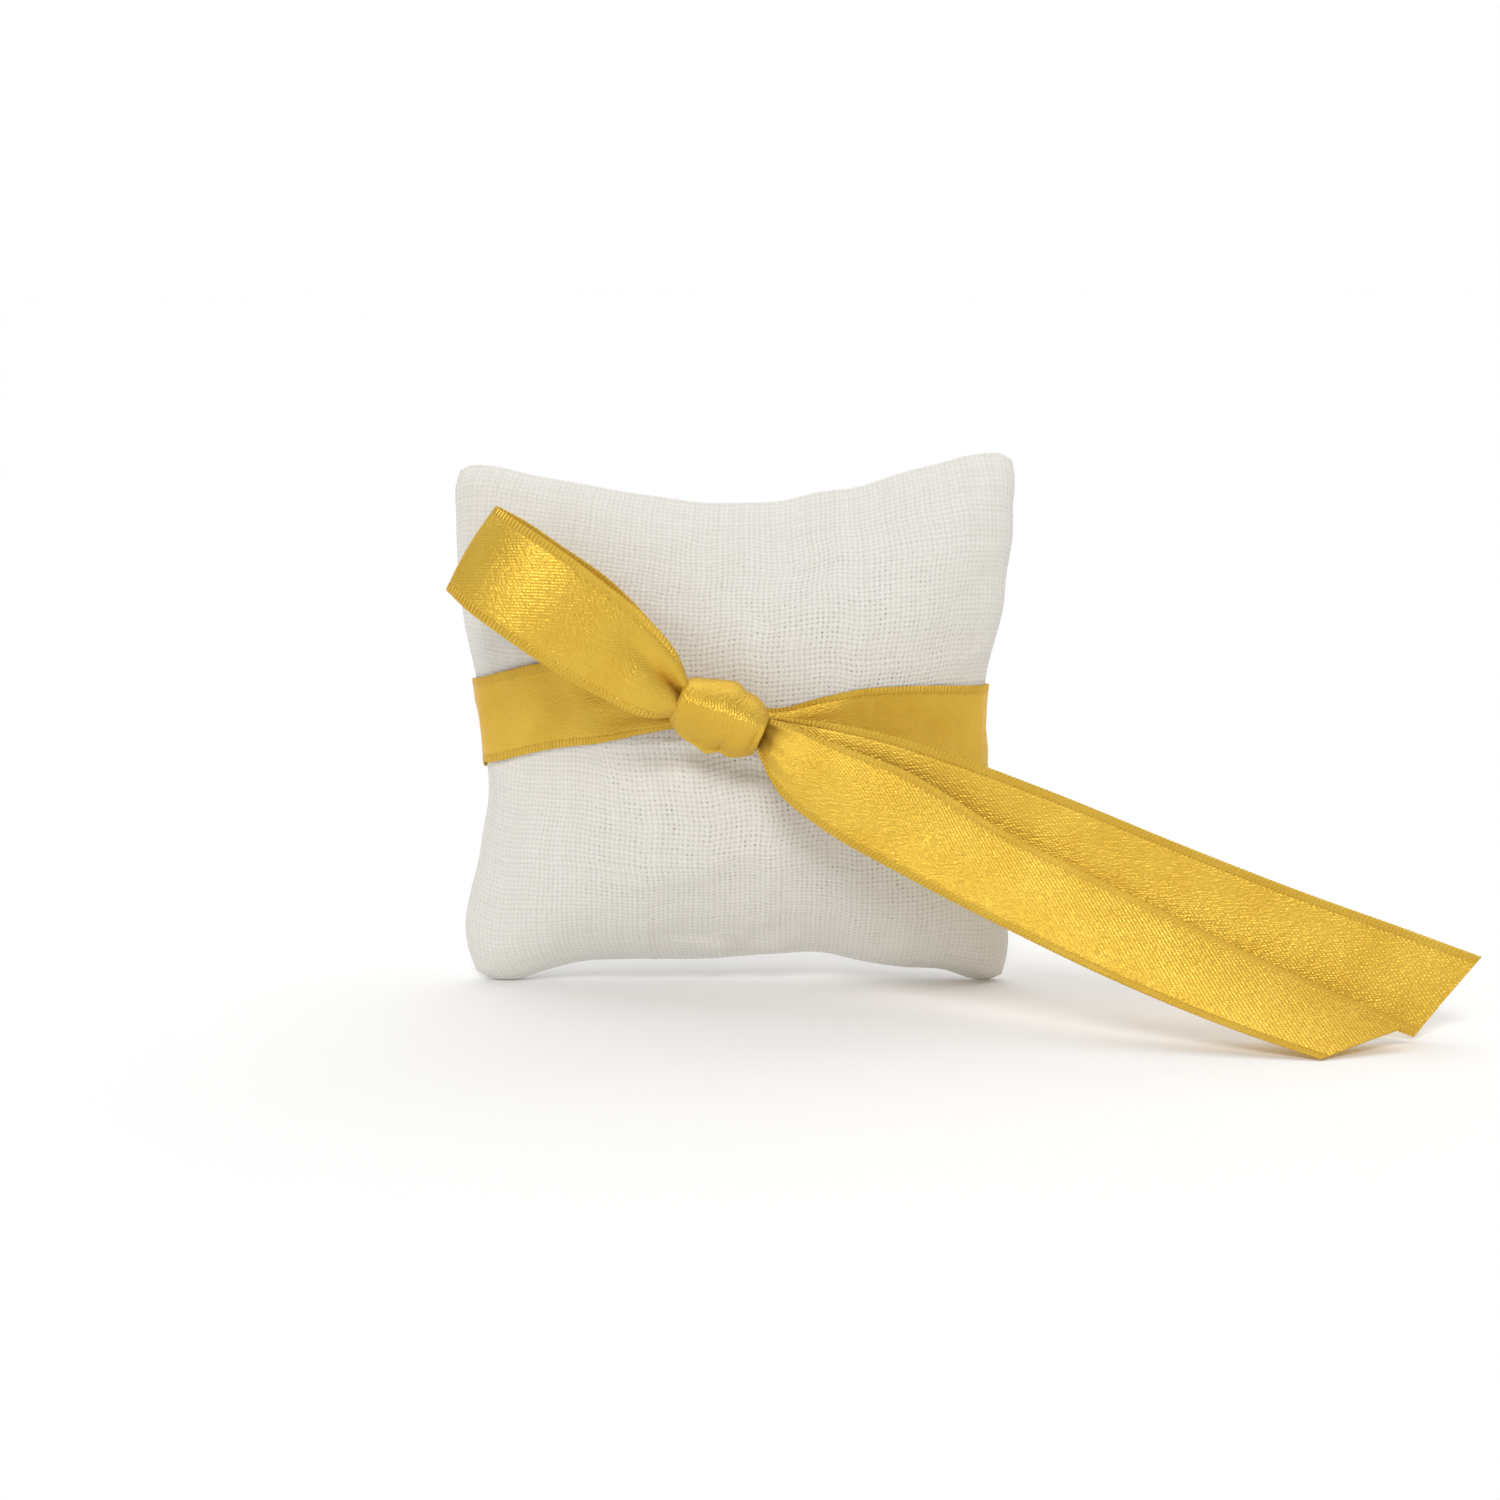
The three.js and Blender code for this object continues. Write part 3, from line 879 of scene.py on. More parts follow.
        faces = np.concatenate([quads(front_ids), quads(back_ids)[:, ::-1]])
        bag = mesh_piece("pillow_bag", start * size, faces)
        cloth = bag.modifiers.new("Cloth", "CLOTH")
        cloth.settings.quality = 8
        cloth.settings.mass = 0.25
        cloth.settings.tension_stiffness = 60
        cloth.settings.compression_stiffness = 40
        cloth.settings.shear_stiffness = 15
        cloth.settings.bending_stiffness = 0.6
        cloth.settings.use_pressure = True
        cloth.settings.uniform_pressure_force = self.pressure
        cloth.settings.effector_weights.gravity = 0
        cloth.collision_settings.use_collision = False
        cloth.point_cache.frame_start, cloth.point_cache.frame_end = 1, self.frames
        scene = bpy.context.scene
        for step in range(1, self.frames + 1):
            scene.frame_set(step)
        shaped = bag.evaluated_get(bpy.context.evaluated_depsgraph_get()).to_mesh()
        moved = np.zeros(len(shaped.vertices) * 3, np.float32)
        shaped.vertices.foreach_get("co", moved)
        bpy.data.objects.remove(bag)
        scene.frame_set(1)
        travel = moved.reshape(-1, 3) / size - start
        far = np.linalg.norm(travel, axis=1, keepdims=True)
        points = start + travel * np.minimum(1, self.travel_limit / np.maximum(far, 1e-9))
        return {Side.FRONT: points[front_ids], Side.BACK: points[back_ids]}

    def _to_outline(self, grid: Points, side: Side) -> Points:
        """Returns a panel with its edges on the pillow's outline and its crown at depth."""
        across, along = self._steps()
        count = self.cells + 1
        s, t = (across + 1) / 2, (along + 1) / 2
        wanted = {
            "left": self._ruffled(line_through(self.left, count), 1),
            "right": self._ruffled(line_through(self.right, count), 2),
            "bottom": self._ruffled(line_through(self.bottom, count), 3),
            "top": self._ruffled(line_through(self.top, count), 4),
        }
        s3, t3 = s[..., None], t[..., None]

        def spanned(edges: dict[str, Points]) -> Points:
            """Returns the even patch between four edges."""
            sides = (1 - s3) * edges["left"][:, None] + s3 * edges["right"][:, None]
            ends = (1 - t3) * edges["bottom"][None] + t3 * edges["top"][None]
            corners = (
                (1 - s3) * (1 - t3) * edges["bottom"][0]
                + s3 * (1 - t3) * edges["bottom"][-1]
                + (1 - s3) * t3 * edges["top"][0]
                + s3 * t3 * edges["top"][-1]
            )
            return sides + ends - corners

        found = {
            "left": grid[:, 0],
            "right": grid[:, -1],
            "bottom": grid[0],
            "top": grid[-1],
        }
        shaped = spanned(wanted) + self.drift_kept * (grid - spanned(found))
        plain = ((1 - across**2) * (1 - along**2)) ** self.fullness
        blown = np.abs(grid[..., 1]) / np.abs(grid[..., 1]).max()
        swell = self.depth * (self.plain_share * plain + (1 - self.plain_share) * blown)
        swell *= self.depth / swell.max()
        shaped[..., 1] = side.value * (self.seam_gap + swell)
        return shaped

    def _ruffled(self, line: Points, which: int) -> Points:
        """Returns a seam edge with the slight waves that the turned seam has."""
        rng = np.random.default_rng(SEED + which)
        waves = rng.normal(0, self.seam_wave, 15)
        waves[[0, -1]] = 0
        drawn = line_through([(float(k), 0.0, float(v)) for k, v in enumerate(waves)], 200)
        at = np.linspace(0, 14, len(line))
        inward = unit(np.array(self.middle) - line)
        return line + inward * np.interp(at, drawn[:, 0], drawn[:, 2])[:, None]

    def depth_under(self, side: Side, z_at: Any) -> tuple[Points, Points]:
        """Finds the cushion's surface along a level line.

        Args:
            side: The front or the back.
            z_at: Gives the line's height at each x.

        Returns:
            The x of each column, and the surface's depth there.
        """
        grid = self.grids[side]
        xs, depths = [], []
        for column in range(grid.shape[1]):
            line = grid[:, column]
            x = np.interp(z_at(line[:, 0].mean()), line[:, 2], line[:, 0])
            xs.append(x)
            depths.append(np.interp(z_at(x), line[:, 2], np.abs(line[:, 1])))
        return np.array(xs), np.array(depths)

    def crease(self, side: Side, middle: tuple[float, float], lean: float,
               length: float, width: float, height: float) -> None:
        """Raises or sinks one soft fold in a cover.

        Args:
            side: The front or the back.
            middle: The fold's middle, x and z.
            lean: The fold's angle above the horizontal, in degrees.
            length: Half the fold's length.
            width: Half the fold's width.
            height: How far it stands out, negative for a valley.
        """
        grid = self.grids[side]
        x, z = grid[..., 0] - middle[0], grid[..., 2] - middle[1]
        turn = math.radians(lean)
        along = x * math.cos(turn) + z * math.sin(turn)
        across = -x * math.sin(turn) + z * math.cos(turn)
        grid[..., 1] += (
            side.value * height * np.exp(-((along / length) ** 2) - (across / width) ** 2)
        )

    def build(self, cover: Finish, wadding: Finish, thread: Finish) -> None:
        """Makes the two covers, the wadding and the seam's threads."""
        for side, name in ((Side.FRONT, "cover_front"), (Side.BACK, "cover_back")):
            self._build_cover(side, name, cover)
        self._build_wadding(wadding)
        self._build_threads(thread)

    def _build_cover(self, side: Side, node: str, finish: Finish) -> None:
        """Makes one cover as a thin shell that turns in at the seam."""
        grid = self.grids[side].copy()
        grid[..., 2] = np.maximum(grid[..., 2], 0.0)
        normals = grid_normals(grid) * -side.value
        inner = grid - normals * self.cloth_thickness
        inner[..., 1] = np.where(
            side.value * inner[..., 1] < self.seam_gap,
            side.value * self.seam_gap,
            inner[..., 1],
        )
        rim = np.zeros(grid.shape[:2], bool)
        rim[[0, -1]] = rim[:, [0, -1]] = True
        inward = unit((np.array(self.middle) - grid) * [1, 0, 1])
        inner[rim] = (grid + inward * self.cloth_thickness * 1.6)[rim]
        inner[..., 2] = np.maximum(inner[..., 2], 0.05)
        count = grid.shape[0]
        steps = np.linspace(-1, 1, count)
        across, along = np.meshgrid(steps, steps)
        cloth = np.stack([across * self.cut_width / 2, along * self.cut_height / 2], -1)
        if side is Side.BACK:
            grid, inner, cloth = grid[:, ::-1], inner[:, ::-1], cloth[:, ::-1] + 200.0
        open_weave = self._openness(across if side is Side.FRONT else across[:, ::-1], along)
        shell = Shell(grid, inner, cloth)
        piece = shell.build(f"{node}_cloth", self.place, **{OPENNESS: open_weave})
        finish.put_on(piece)
        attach(piece, "pillow")
        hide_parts(node)
        LOG.info("%s: %d faces", piece.name, len(piece.data.polygons))

    def _openness(self, across: Points, along: Points) -> Points:
        """Returns how far the weave is stretched open: most in the middle and lower right."""
        inner = (1 - np.abs(across) ** 4) * (1 - np.abs(along) ** 4)
        drift = 0.72 + 0.22 * across - 0.12 * along
        return np.clip(inner * drift, 0, 1)

    def _build_wadding(self, finish: Finish) -> None:
        """Makes the stuffing: the cushion's form, a little smaller and lumpy."""
        rng = np.random.default_rng(SEED)
        grids = {}
        for side, grid in self.grids.items():
            small = grid[:: self.refine * 2, :: self.refine * 2].copy()
            lumps = finer(rng.normal(0, 0.25, (9, 9)), (len(small) - 1) // 8)
            edge = np.minimum(np.abs(small[..., 1]) / 3, 1)
            inward = (small - np.array(self.middle)) * [1, 0, 1]
            small -= inward * 0.055
            small[..., 1] = side.value * np.maximum(
                0.05, np.abs(small[..., 1]) - 1.2 + lumps * edge
            )
            grids[side] = small
        front, back = grids[Side.FRONT], grids[Side.BACK]
        steps = front[..., [0, 2]]
        piece = Shell(front, back, steps).build("wadding", self.place)
        finish.put_on(piece)
        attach(piece, "pillow")
        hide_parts("filling")
        LOG.info("%s: %d faces", piece.name, len(piece.data.polygons))

    def _seam_line(self) -> Points:
        """Returns the seam's line round the pillow, from the bottom's middle, anticlockwise."""
        grid = self.grids[Side.FRONT]
        half = grid.shape[1] // 2
        line = np.concatenate(
            [grid[0, half:], grid[1:, -1], grid[-1, -2::-1], grid[-2::-1, 0], grid[0, 1 : half + 1]]
        )
        line[:, 1] = 0
        inward = unit(np.array(self.middle) - line)
        return line + inward * 1.5

    def _build_threads(self, finish: Finish) -> None:
        """Makes the machine seam and the hand-closed gap as running thread."""
        line = self._seam_line()
        run = run_along(line)
        gap = 12.0
        stitch, hand_stitch, radius = 1.8, 2.2, 0.16
        for name, start, end, pitch, sway in (
            ("seam_stitching", gap + 0.6, run[-1] - gap - 0.6, stitch, 0.12),
            ("closing_stitch", run[-1] - gap, run[-1] + gap, hand_stitch, 0.2),
        ):
            at = np.arange(start, end, pitch / 6)
            path = np.stack(
                [np.interp(at % run[-1], run, line[:, k]) for k in range(3)], 1
            )
            path[:, 1] = sway * np.sin(2 * np.pi * at / pitch)
            points, faces = tube(path, radius)
            piece = mesh_piece(f"{name}_thread", self.place.metres(points), faces)
            finish.put_on(piece)
            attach(piece, "pillow")
            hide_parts(name)
            LOG.info("%s: %d faces", piece.name, len(piece.data.polygons))


# ---------------------------------------------------------------- the ribbon


@dataclass
class Ribbon:
    """One length of satin ribbon, 10 mm wide, with a groove and a corded edge each side."""

    place: Place
    finish: Finish
    width: float = 10.0
    thickness: float = 0.22
    edge_width: float = 0.85
    pick: float = 0.46
    rows_per_pick: int = 4

    def stations(self) -> Points:
        """Returns the places of the columns across, in millimetres from the lower edge."""
        edge = [0.0, 0.1, 0.25, 0.45, 0.65, 0.8, 0.95, 1.3]
        middle = list(np.arange(2.0, self.width / 2, 0.6))
        half = edge + middle
        return np.array(half + [self.width / 2] + [self.width - v for v in reversed(half)])

    def rows_for(self, length: float) -> int:
        """Returns how many rows a length of ribbon takes."""
        return int(length / self.pick * self.rows_per_pick) + 1

    def build(self, name: str, surface: Points, length: float, looped: bool = False,
              start: float = 0.0, plain: bool = False) -> bpy.types.Object:
        """Makes one stretch of ribbon from its middle surface.

        Args:
            name: The piece's name.
            surface: Rows along the ribbon and columns from the lower to the upper edge.
            length: The stretch's length.
            looped: Whether the last row joins the first.
            start: Where on the ribbon the stretch starts.
            plain: Whether its corded edges are turned in, out of sight.

        Returns:
            The new object, dressed.
        """
        rows = surface.shape[0]
        at = self.stations()
        along = start + np.linspace(0, length, rows + looped)[:rows]
        from_edge = np.minimum(at, self.width - at) + (2.0 if plain else 0.0)
        if looped:
            padded = np.concatenate([surface[-2:], surface, surface[:2]])
            normals = self._normals(padded)[2:-2]
        else:
            normals = self._normals(surface)
        cord = (from_edge < self.edge_width) & (from_edge >= 0)
        swell = np.where(cord, np.sin(np.pi * np.clip(from_edge / self.edge_width, 0, 1)), 0)
        groove = np.exp(-(((from_edge - self.edge_width - 0.05) / 0.12) ** 2))
        ridges = 0.5 + 0.5 * np.sin(2 * np.pi * along / self.pick)
        half = self.thickness / 2 * (
            1 + 0.16 * swell[None] * (0.6 + ridges[:, None]) - 0.25 * groove[None]
        )
        half = np.where(from_edge[None] < 0.01, half * 0.6, half)[..., None]
        sideways = unit(surface[:, -1] - surface[:, -2])
        other = unit(surface[:, 0] - surface[:, 1])
        middle = surface.copy()
        scallop = (0.06 * ridges)[:, None]
        for count, share in ((1, 1.0), (2, 0.6)):
            middle[:, -count] += sideways * scallop * share
            middle[:, count - 1] += other * scallop * share
        cloth = np.stack(
            [np.broadcast_to(along[:, None], middle.shape[:2]),
             np.broadcast_to(at[None] - self.width / 2, middle.shape[:2])],
            -1,
        )
        shell = Shell(middle + normals * half, middle - normals * half, cloth, looped)
        edges = np.broadcast_to(from_edge[None], middle.shape[:2])
        piece = shell.build(name, self.place, **{EDGE_MM: edges})
        self.finish.put_on(piece)
        LOG.info("%s: %d faces", piece.name, len(piece.data.polygons))
        return piece

    @staticmethod
    def _normals(surface: Points) -> Points:
        """Returns the way the face looks at each point."""
        along, across = np.gradient(surface, axis=0), np.gradient(surface, axis=1)
        return unit(np.cross(across, along))

    def between(self, lower: Line, upper: Line, rows: int, fold: Any) -> Points:
        """Spans a surface between the ribbon's two edges.

        Args:
            lower: Points of the lower edge.
            upper: Points of the upper edge.
            rows: How many rows it has.
            fold: Gives, for a row's share along and a column's share across, how far the
                face stands out there.

        Returns:
            The surface, rows by columns by three.
        """
        low, high = line_through(lower, rows)[:, None], line_through(upper, rows)[:, None]
        share = (self.stations() / self.width)[None, :, None]
        surface = low + (high - low) * share
        facing = self._normals(surface)
        along = np.linspace(0, 1, rows)[:, None]
        return surface + facing * fold(along, share[..., 0])[..., None]


def length_of(surface: Points) -> float:
    """Returns the length of a surface's middle line."""
    line = surface[:, surface.shape[1] // 2]
    return float(np.linalg.norm(np.diff(line, axis=0), axis=1).sum())


@dataclass
class Band:
    """The turn of ribbon round the pillow's waist, which gathers behind the knot."""

    ribbon: Ribbon
    pillow: Pillow
    lift: float = 0.42
    pinch: float = 0.045
    side_pinch: float = 0.012
    ease: float = 6.5
    # Height of the band's middle line on the front, from the left edge to the right one.
    front_middle: Line = field(
        default_factory=lambda: [
            (-31.0, 0, 29.8), (-25.5, 0, 31.9), (-21.3, 0, 33.25), (-14.8, 0, 34.2),
            (-6.7, 0, 33.9), (-1.8, 0, 33.2), (4.3, 0, 31.2), (9.2, 0, 31.3),
            (13.6, 0, 31.2), (18.0, 0, 30.8), (31.0, 0, 29.4),
        ]
    )
    # Half the band's width on the front.
    front_half: Line = field(
        default_factory=lambda: [
            (-31.0, 0, 5.0), (-21.3, 0, 5.0), (-14.8, 0, 4.5), (-10.0, 0, 3.3),
            (-6.7, 0, 2.4), (-1.8, 0, 2.2), (3.0, 0, 2.3), (6.0, 0, 2.8), (9.2, 0, 3.5),
            (13.6, 0, 4.4), (19.0, 0, 4.9), (31.0, 0, 5.0),
        ]
    )
    back_middle: Line = field(
        default_factory=lambda: [(-31.0, 0, 30.1), (0.0, 0, 29.7), (31.0, 0, 29.5)]
    )

    def middle_height(self, x: Points, side: Side) -> Points:
        """Returns the height of the band's middle line at x."""
        line = self.front_middle if side is Side.FRONT else self.back_middle
        drawn = line_through(line, 200)
        return np.interp(x, drawn[:, 0], drawn[:, 2])

    def half_width(self, x: Points, side: Side) -> Points:
        """Returns half the band's width at x."""
        if side is Side.BACK:
            return np.full_like(np.asarray(x, float), self.ribbon.width / 2)
        drawn = line_through(self.front_half, 200)
        return np.interp(x, drawn[:, 0], drawn[:, 2])

    def pinch_pillow(self) -> None:
        """Presses the cushion in under the band, and eases it out beyond its edges."""
        for side, grid in self.pillow.grids.items():
            x, z = grid[..., 0], grid[..., 2]
            off = np.abs(z - self.middle_height(x, side)) - self.half_width(x, side)
            held = np.exp(-((np.maximum(off, 0) / self.ease) ** 2))
            grid[..., 1] *= 1 - self.pinch * held
            grid[..., 0] *= 1 - self.side_pinch * held

    def _ring_at(self, share: float) -> Points:
        """Returns the line round the cushion at a share of the band's width, -1 to 1."""
        parts = []
        for side in Side:
            xs, depths = self.pillow.depth_under(
                side,
                lambda x, side=side: float(
                    self.middle_height(x, side) + share * self.half_width(x, side)
                ),
            )
            z = self.middle_height(xs, side) + share * self.half_width(xs, side)
            line = np.stack([xs, side.value * depths, z], 1)
            parts.append(line if side is Side.FRONT else line[::-1])
        return np.concatenate(parts)

    def surface(self) -> Points:
        """Returns the band's middle surface, a closed ring of rows."""
        shares = np.linspace(-1, 1, 5)
        rings = np.stack([self._ring_at(share) for share in shares], 1)
        # The ribbon is taut, so it spans the hollows that the cloth has across it.
        flat = rings[:, [0]] * (1 - (shares[None, :, None] + 1) / 2)
        flat = flat + rings[:, [-1]] * (shares[None, :, None] + 1) / 2
        rings = np.where(np.abs(flat[..., 1:2]) > np.abs(rings[..., 1:2]), flat, rings)
        middle = rings[:, 2]
        closed = np.vstack([middle, middle[:1]])
        run = run_along(closed)
        rows = self.ribbon.rows_for(run[-1])
        at = np.linspace(0, run[-1], rows, endpoint=False)
        whole = np.concatenate([rings, rings[:1]])
        even = np.empty((rows, len(shares), 3))
        for j in range(len(shares)):
            for k in range(3):
                even[:, j, k] = np.interp(at, run, whole[:, j, k])
        even = self._pushed_out(even, self.lift)
        even = self._evened(even, 1.6 / (run[-1] / rows))
        tight = self._tightness(even)
        columns = self.ribbon.stations() / self.ribbon.width * 2 - 1
        made = np.empty((rows, len(columns), 3))
        for k in range(3):
            for i in range(rows):
                made[i, :, k] = np.interp(columns, shares, even[i, :, k])
        pleats = 0.5 * tight[:, None] * np.cos(3 * np.pi * columns[None] + 0.6)
        pleats += 0.45 * tight[:, None]
        facing = self._facing(made)
        return made + facing * pleats[..., None]

    def _tightness(self, rings: Points) -> Points:
        """Returns how far each row is gathered, 0 where the ribbon lies flat."""
        width = np.linalg.norm(rings[:, -1] - rings[:, 0], axis=1)
        return np.clip(1 - width / self.ribbon.width, 0, 1)

    @staticmethod
    def _facing(rings: Points) -> Points:
        """Returns the way out of the ring, level, at each point."""
        ahead = unit(np.roll(rings, -1, axis=0) - np.roll(rings, 1, axis=0))
        return unit(np.stack([ahead[..., 1], -ahead[..., 0], np.zeros(ahead.shape[:2])], -1))

    def _pushed_out(self, rings: Points, by: float) -> Points:
        """Returns the rings moved outwards."""
        return rings + self._facing(rings) * by

    @staticmethod
    def _evened(rings: Points, width: float) -> Points:
        """Returns the rings with their sharp turns rounded over a number of rows."""
        count = max(3, int(width) | 1)
        window = np.hanning(count + 2)[1:-1]
        window /= window.sum()
        long = np.concatenate([rings[-count:], rings, rings[:count]])
        out = np.empty_like(rings)
        for j in range(rings.shape[1]):
            for k in range(3):
                out[:, j, k] = np.convolve(long[:, j, k], window, "same")[count:-count]
        return out

    def build(self) -> None:
        """Makes the band."""
        self.pinch_pillow()
        ring = self.surface()
        length = length_of(np.concatenate([ring, ring[:1]]))
        piece = self.ribbon.build("band_ribbon", ring, length, looped=True)
        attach(piece, "pillow")
        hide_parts("ribbon_band")


@dataclass
class Knot:
    """The knot: one turn of the ribbon drawn tight round the bundle of layers."""

    ribbon: Ribbon
    middle: tuple[float, float, float] = (-1.8, -15.75, 33.6)
    lean: float = 22.0
    half_length: float = 4.85
    depth: float = 2.75
    rows: int = 220
    # Height of the knot above and below its axis, from its left rim to its right one.
    above: Line = field(
        default_factory=lambda: [
            (-5.0, 0, 2.0), (-4.3, 0, 2.6), (-2.5, 0, 3.2), (-0.6, 0, 3.8),
            (0.7, 0, 4.0), (1.6, 0, 3.45), (2.7, 0, 3.4), (3.9, 0, 2.9), (5.0, 0, 1.9),
        ]
    )
    below: Line = field(
        default_factory=lambda: [
            (-5.0, 0, 2.3), (-3.2, 0, 3.6), (-1.2, 0, 4.0), (0.3, 0, 4.35),
            (1.15, 0, 3.7), (2.7, 0, 3.8), (4.1, 0, 3.1), (5.0, 0, 2.4),
        ]
    )

    def surface(self, inset: float) -> Points:
        """Returns rows round the axis of the turn, a given depth inside it."""
        turn = np.linspace(0, 2 * np.pi, self.rows, endpoint=False)[:, None]
        share = (self.ribbon.stations() / self.ribbon.width * 2 - 1)[None]
        along = share * self.half_length
        above, below = line_through(self.above, 200), line_through(self.below, 200)
        high = np.interp(along, above[:, 0], above[:, 2])
        low = np.interp(along, below[:, 0], below[:, 2])
        up, out = np.cos(turn), np.sin(turn)
        lift = np.where(up > 0, high, low) * np.abs(up) ** 0.94 * np.sign(up)
        deep = self.depth * (0.80 + 0.20 * np.sqrt(np.clip(1 - share**2, 0, 1)))
        forward = deep * np.abs(out) ** 0.85 * np.where(out > 0, 1.0, -1.08)
        front = smooth(out, 0.0, 0.6)
        # Two flat faces meet in a ridge above the middle, and a tuck folds in below.
        off = lift - 0.7 - 0.03 * along
        ridge = 0.8 - 0.4 * np.sqrt(off**2 + 0.3)
        tuck = -0.5 * np.exp(-(((lift + 3.4) / 0.9) ** 2) - ((along - 1.2) / 0.45) ** 2)
        lip = 0.3 * np.exp(-(((lift + 2.4) / 1.2) ** 2) - ((along - 2.9) / 1.2) ** 2)
        rim = -0.1 * np.exp(-(((np.abs(along - 0.1) - 4.2) / 0.3) ** 2))
        rucks = 0.05 * np.sin(along * 4.1 + lift * 0.9) + 0.04 * np.sin(along * 6.7 - lift)
        forward = forward + front * (ridge + tuck + lip + rim + rucks) - np.sign(out) * inset
        lift = lift - np.sign(up) * inset * np.abs(up)
        lean = math.radians(self.lean)
        axis = np.array([math.cos(lean), 0, -math.sin(lean)])
        rise = np.array([math.sin(lean), 0, math.cos(lean)])
        toward = np.array([0, -1.0, 0])
        return (
            np.array(self.middle)
            + along[..., None] * axis
            + lift[..., None] * rise
            + forward[..., None] * toward
        )

    def build(self) -> None:
        """Makes the knot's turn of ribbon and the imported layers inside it."""
        surface = self.surface(0.0)[::-1]
        length = length_of(np.concatenate([surface, surface[:1]]))
        piece = self.ribbon.build(
            "knot_ribbon", surface, length, looped=True, start=310.0, plain=True
        )
        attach(piece, "pillow")
        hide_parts("ribbon_knot_wrap")
        self._build_core()

    def _build_core(self) -> None:
        """Makes the layers that fill the knot, as pleats between its two mouths."""
        outer = self.surface(0.35)
        stations = self.ribbon.stations()
        keep = (stations >= 0.5) & (stations <= self.ribbon.width - 0.8)
        skin = outer[:, keep]
        centre = skin.mean(axis=0, keepdims=True)
        turn = np.linspace(0, 2 * np.pi, self.rows, endpoint=False)[:, None, None]
        skin = centre + (skin - centre) * (0.9 + 0.05 * np.cos(7 * turn))
        rows, columns = skin.shape[:2]
        ids = np.arange(rows * columns).reshape(rows, columns)
        on = np.roll(ids, -1, axis=0)
        quads = np.stack([ids[:, :-1], ids[:, 1:], on[:, 1:], on[:, :-1]], -1).reshape(-1, 4)
        points = np.concatenate([skin.reshape(-1, 3), centre[0][[0, -1]]])
        first, last = len(points) - 2, len(points) - 1
        caps = [[first, int(a), int(b)] for a, b in zip(ids[:, 0], on[:, 0])]
        caps += [[last, int(b), int(a)] for a, b in zip(ids[:, -1], on[:, -1])]
        faces = quads.tolist() + caps
        piece = mesh_piece("knot_layers", self.ribbon.place.metres(points), faces)
        local = points - np.array(self.middle)
        cloth = np.stack([local[:, 0], local[:, 2], np.zeros(len(points))], 1)
        vectors = piece.data.attributes.new(CLOTH_MM, "FLOAT_VECTOR", "POINT")
        vectors.data.foreach_set("vector", cloth.astype(np.float32).ravel())
        numbers = piece.data.attributes.new(EDGE_MM, "FLOAT", "POINT")
        numbers.data.foreach_set("value", np.full(len(points), 4.0, np.float32))
        self.ribbon.finish.put_on(piece)
        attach(piece, "pillow")
        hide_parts("ribbon_knot_core")
        LOG.info("%s: %d faces", piece.name, len(piece.data.polygons))


@dataclass
class Loop:
    """The single loop of the bow, out to the upper left and back behind itself."""

    ribbon: Ribbon
    # A stretch from the knot's mouth outwards; build turns its ends into metres and uses them no further.
    bend: tuple[tuple[float, float, float], ...] = ((-6.4, -15.9, 35.5), (-10.5, -15.9, 38.4))
    upper: Line = field(
        default_factory=lambda: [
            (-5.3, -16.7, 37.4), (-6.6, -17.5, 40.9), (-9.3, -18.0, 44.3),
            (-14.3, -18.1, 48.5), (-18.4, -17.8, 51.6), (-22.6, -16.4, 54.3),
            (-25.2, -14.4, 55.7), (-26.0, -13.0, 56.1), (-25.6, -11.9, 55.8),
            (-23.5, -11.2, 54.6), (-19.0, -11.6, 51.6), (-14.0, -12.6, 48.2),
            (-9.6, -14.0, 44.0), (-7.0, -15.0, 40.8), (-5.6, -15.5, 37.8),
        ]
    )
    lower: Line = field(
        default_factory=lambda: [
            (-7.0, -17.0, 33.7), (-9.3, -18.5, 33.8), (-14.3, -19.4, 36.0),
            (-19.4, -19.7, 39.0), (-25.7, -19.0, 43.2), (-29.0, -17.4, 45.4),
            (-30.7, -15.7, 46.7), (-31.4, -14.5, 47.2), (-31.0, -13.3, 47.0),
            (-29.2, -12.4, 45.8), (-25.0, -12.4, 43.2), (-19.5, -13.3, 39.8),
            (-14.4, -14.2, 37.0), (-9.6, -14.9, 34.8), (-7.2, -15.3, 33.8),
        ]
    )

    @staticmethod
    def fold(along: Points, across: Points) -> Points:
        """Returns the crease that runs from the knot up the loop's upper third."""
        root = 1 - smooth(along, 0.0, 0.2)
        tail_root = smooth(along, 0.84, 1.0)
        valley = -0.95 * np.exp(-(((across - 0.6 - 0.5 * along) / 0.07) ** 2))
        lobe = 0.75 * np.exp(-(((across - 0.84 - 0.2 * along) / 0.14) ** 2))
        belly = 0.85 * np.sin(np.pi * np.clip(across / 0.6, 0, 1))
        crown = 0.35 * np.sin(np.pi * across) * (1 - tail_root)
        back = -0.9 * np.sin(np.pi * across) * tail_root
        return root * (valley + lobe + belly) + crown + back

    def build(self) -> None:
        """Makes the loop, out from the knot's left mouth."""
        rows = self.ribbon.rows_for(68.0)
        surface = self.ribbon.between(self.lower, self.upper, rows, self.fold)
        length = length_of(surface)
        piece = self.ribbon.build("loop_ribbon", surface, length, start=120.0)
        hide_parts("ribbon_loop")
        start, end = self.bend
        place = self.ribbon.place
        place.point(*start)
        place.point(*end)
        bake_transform(piece)


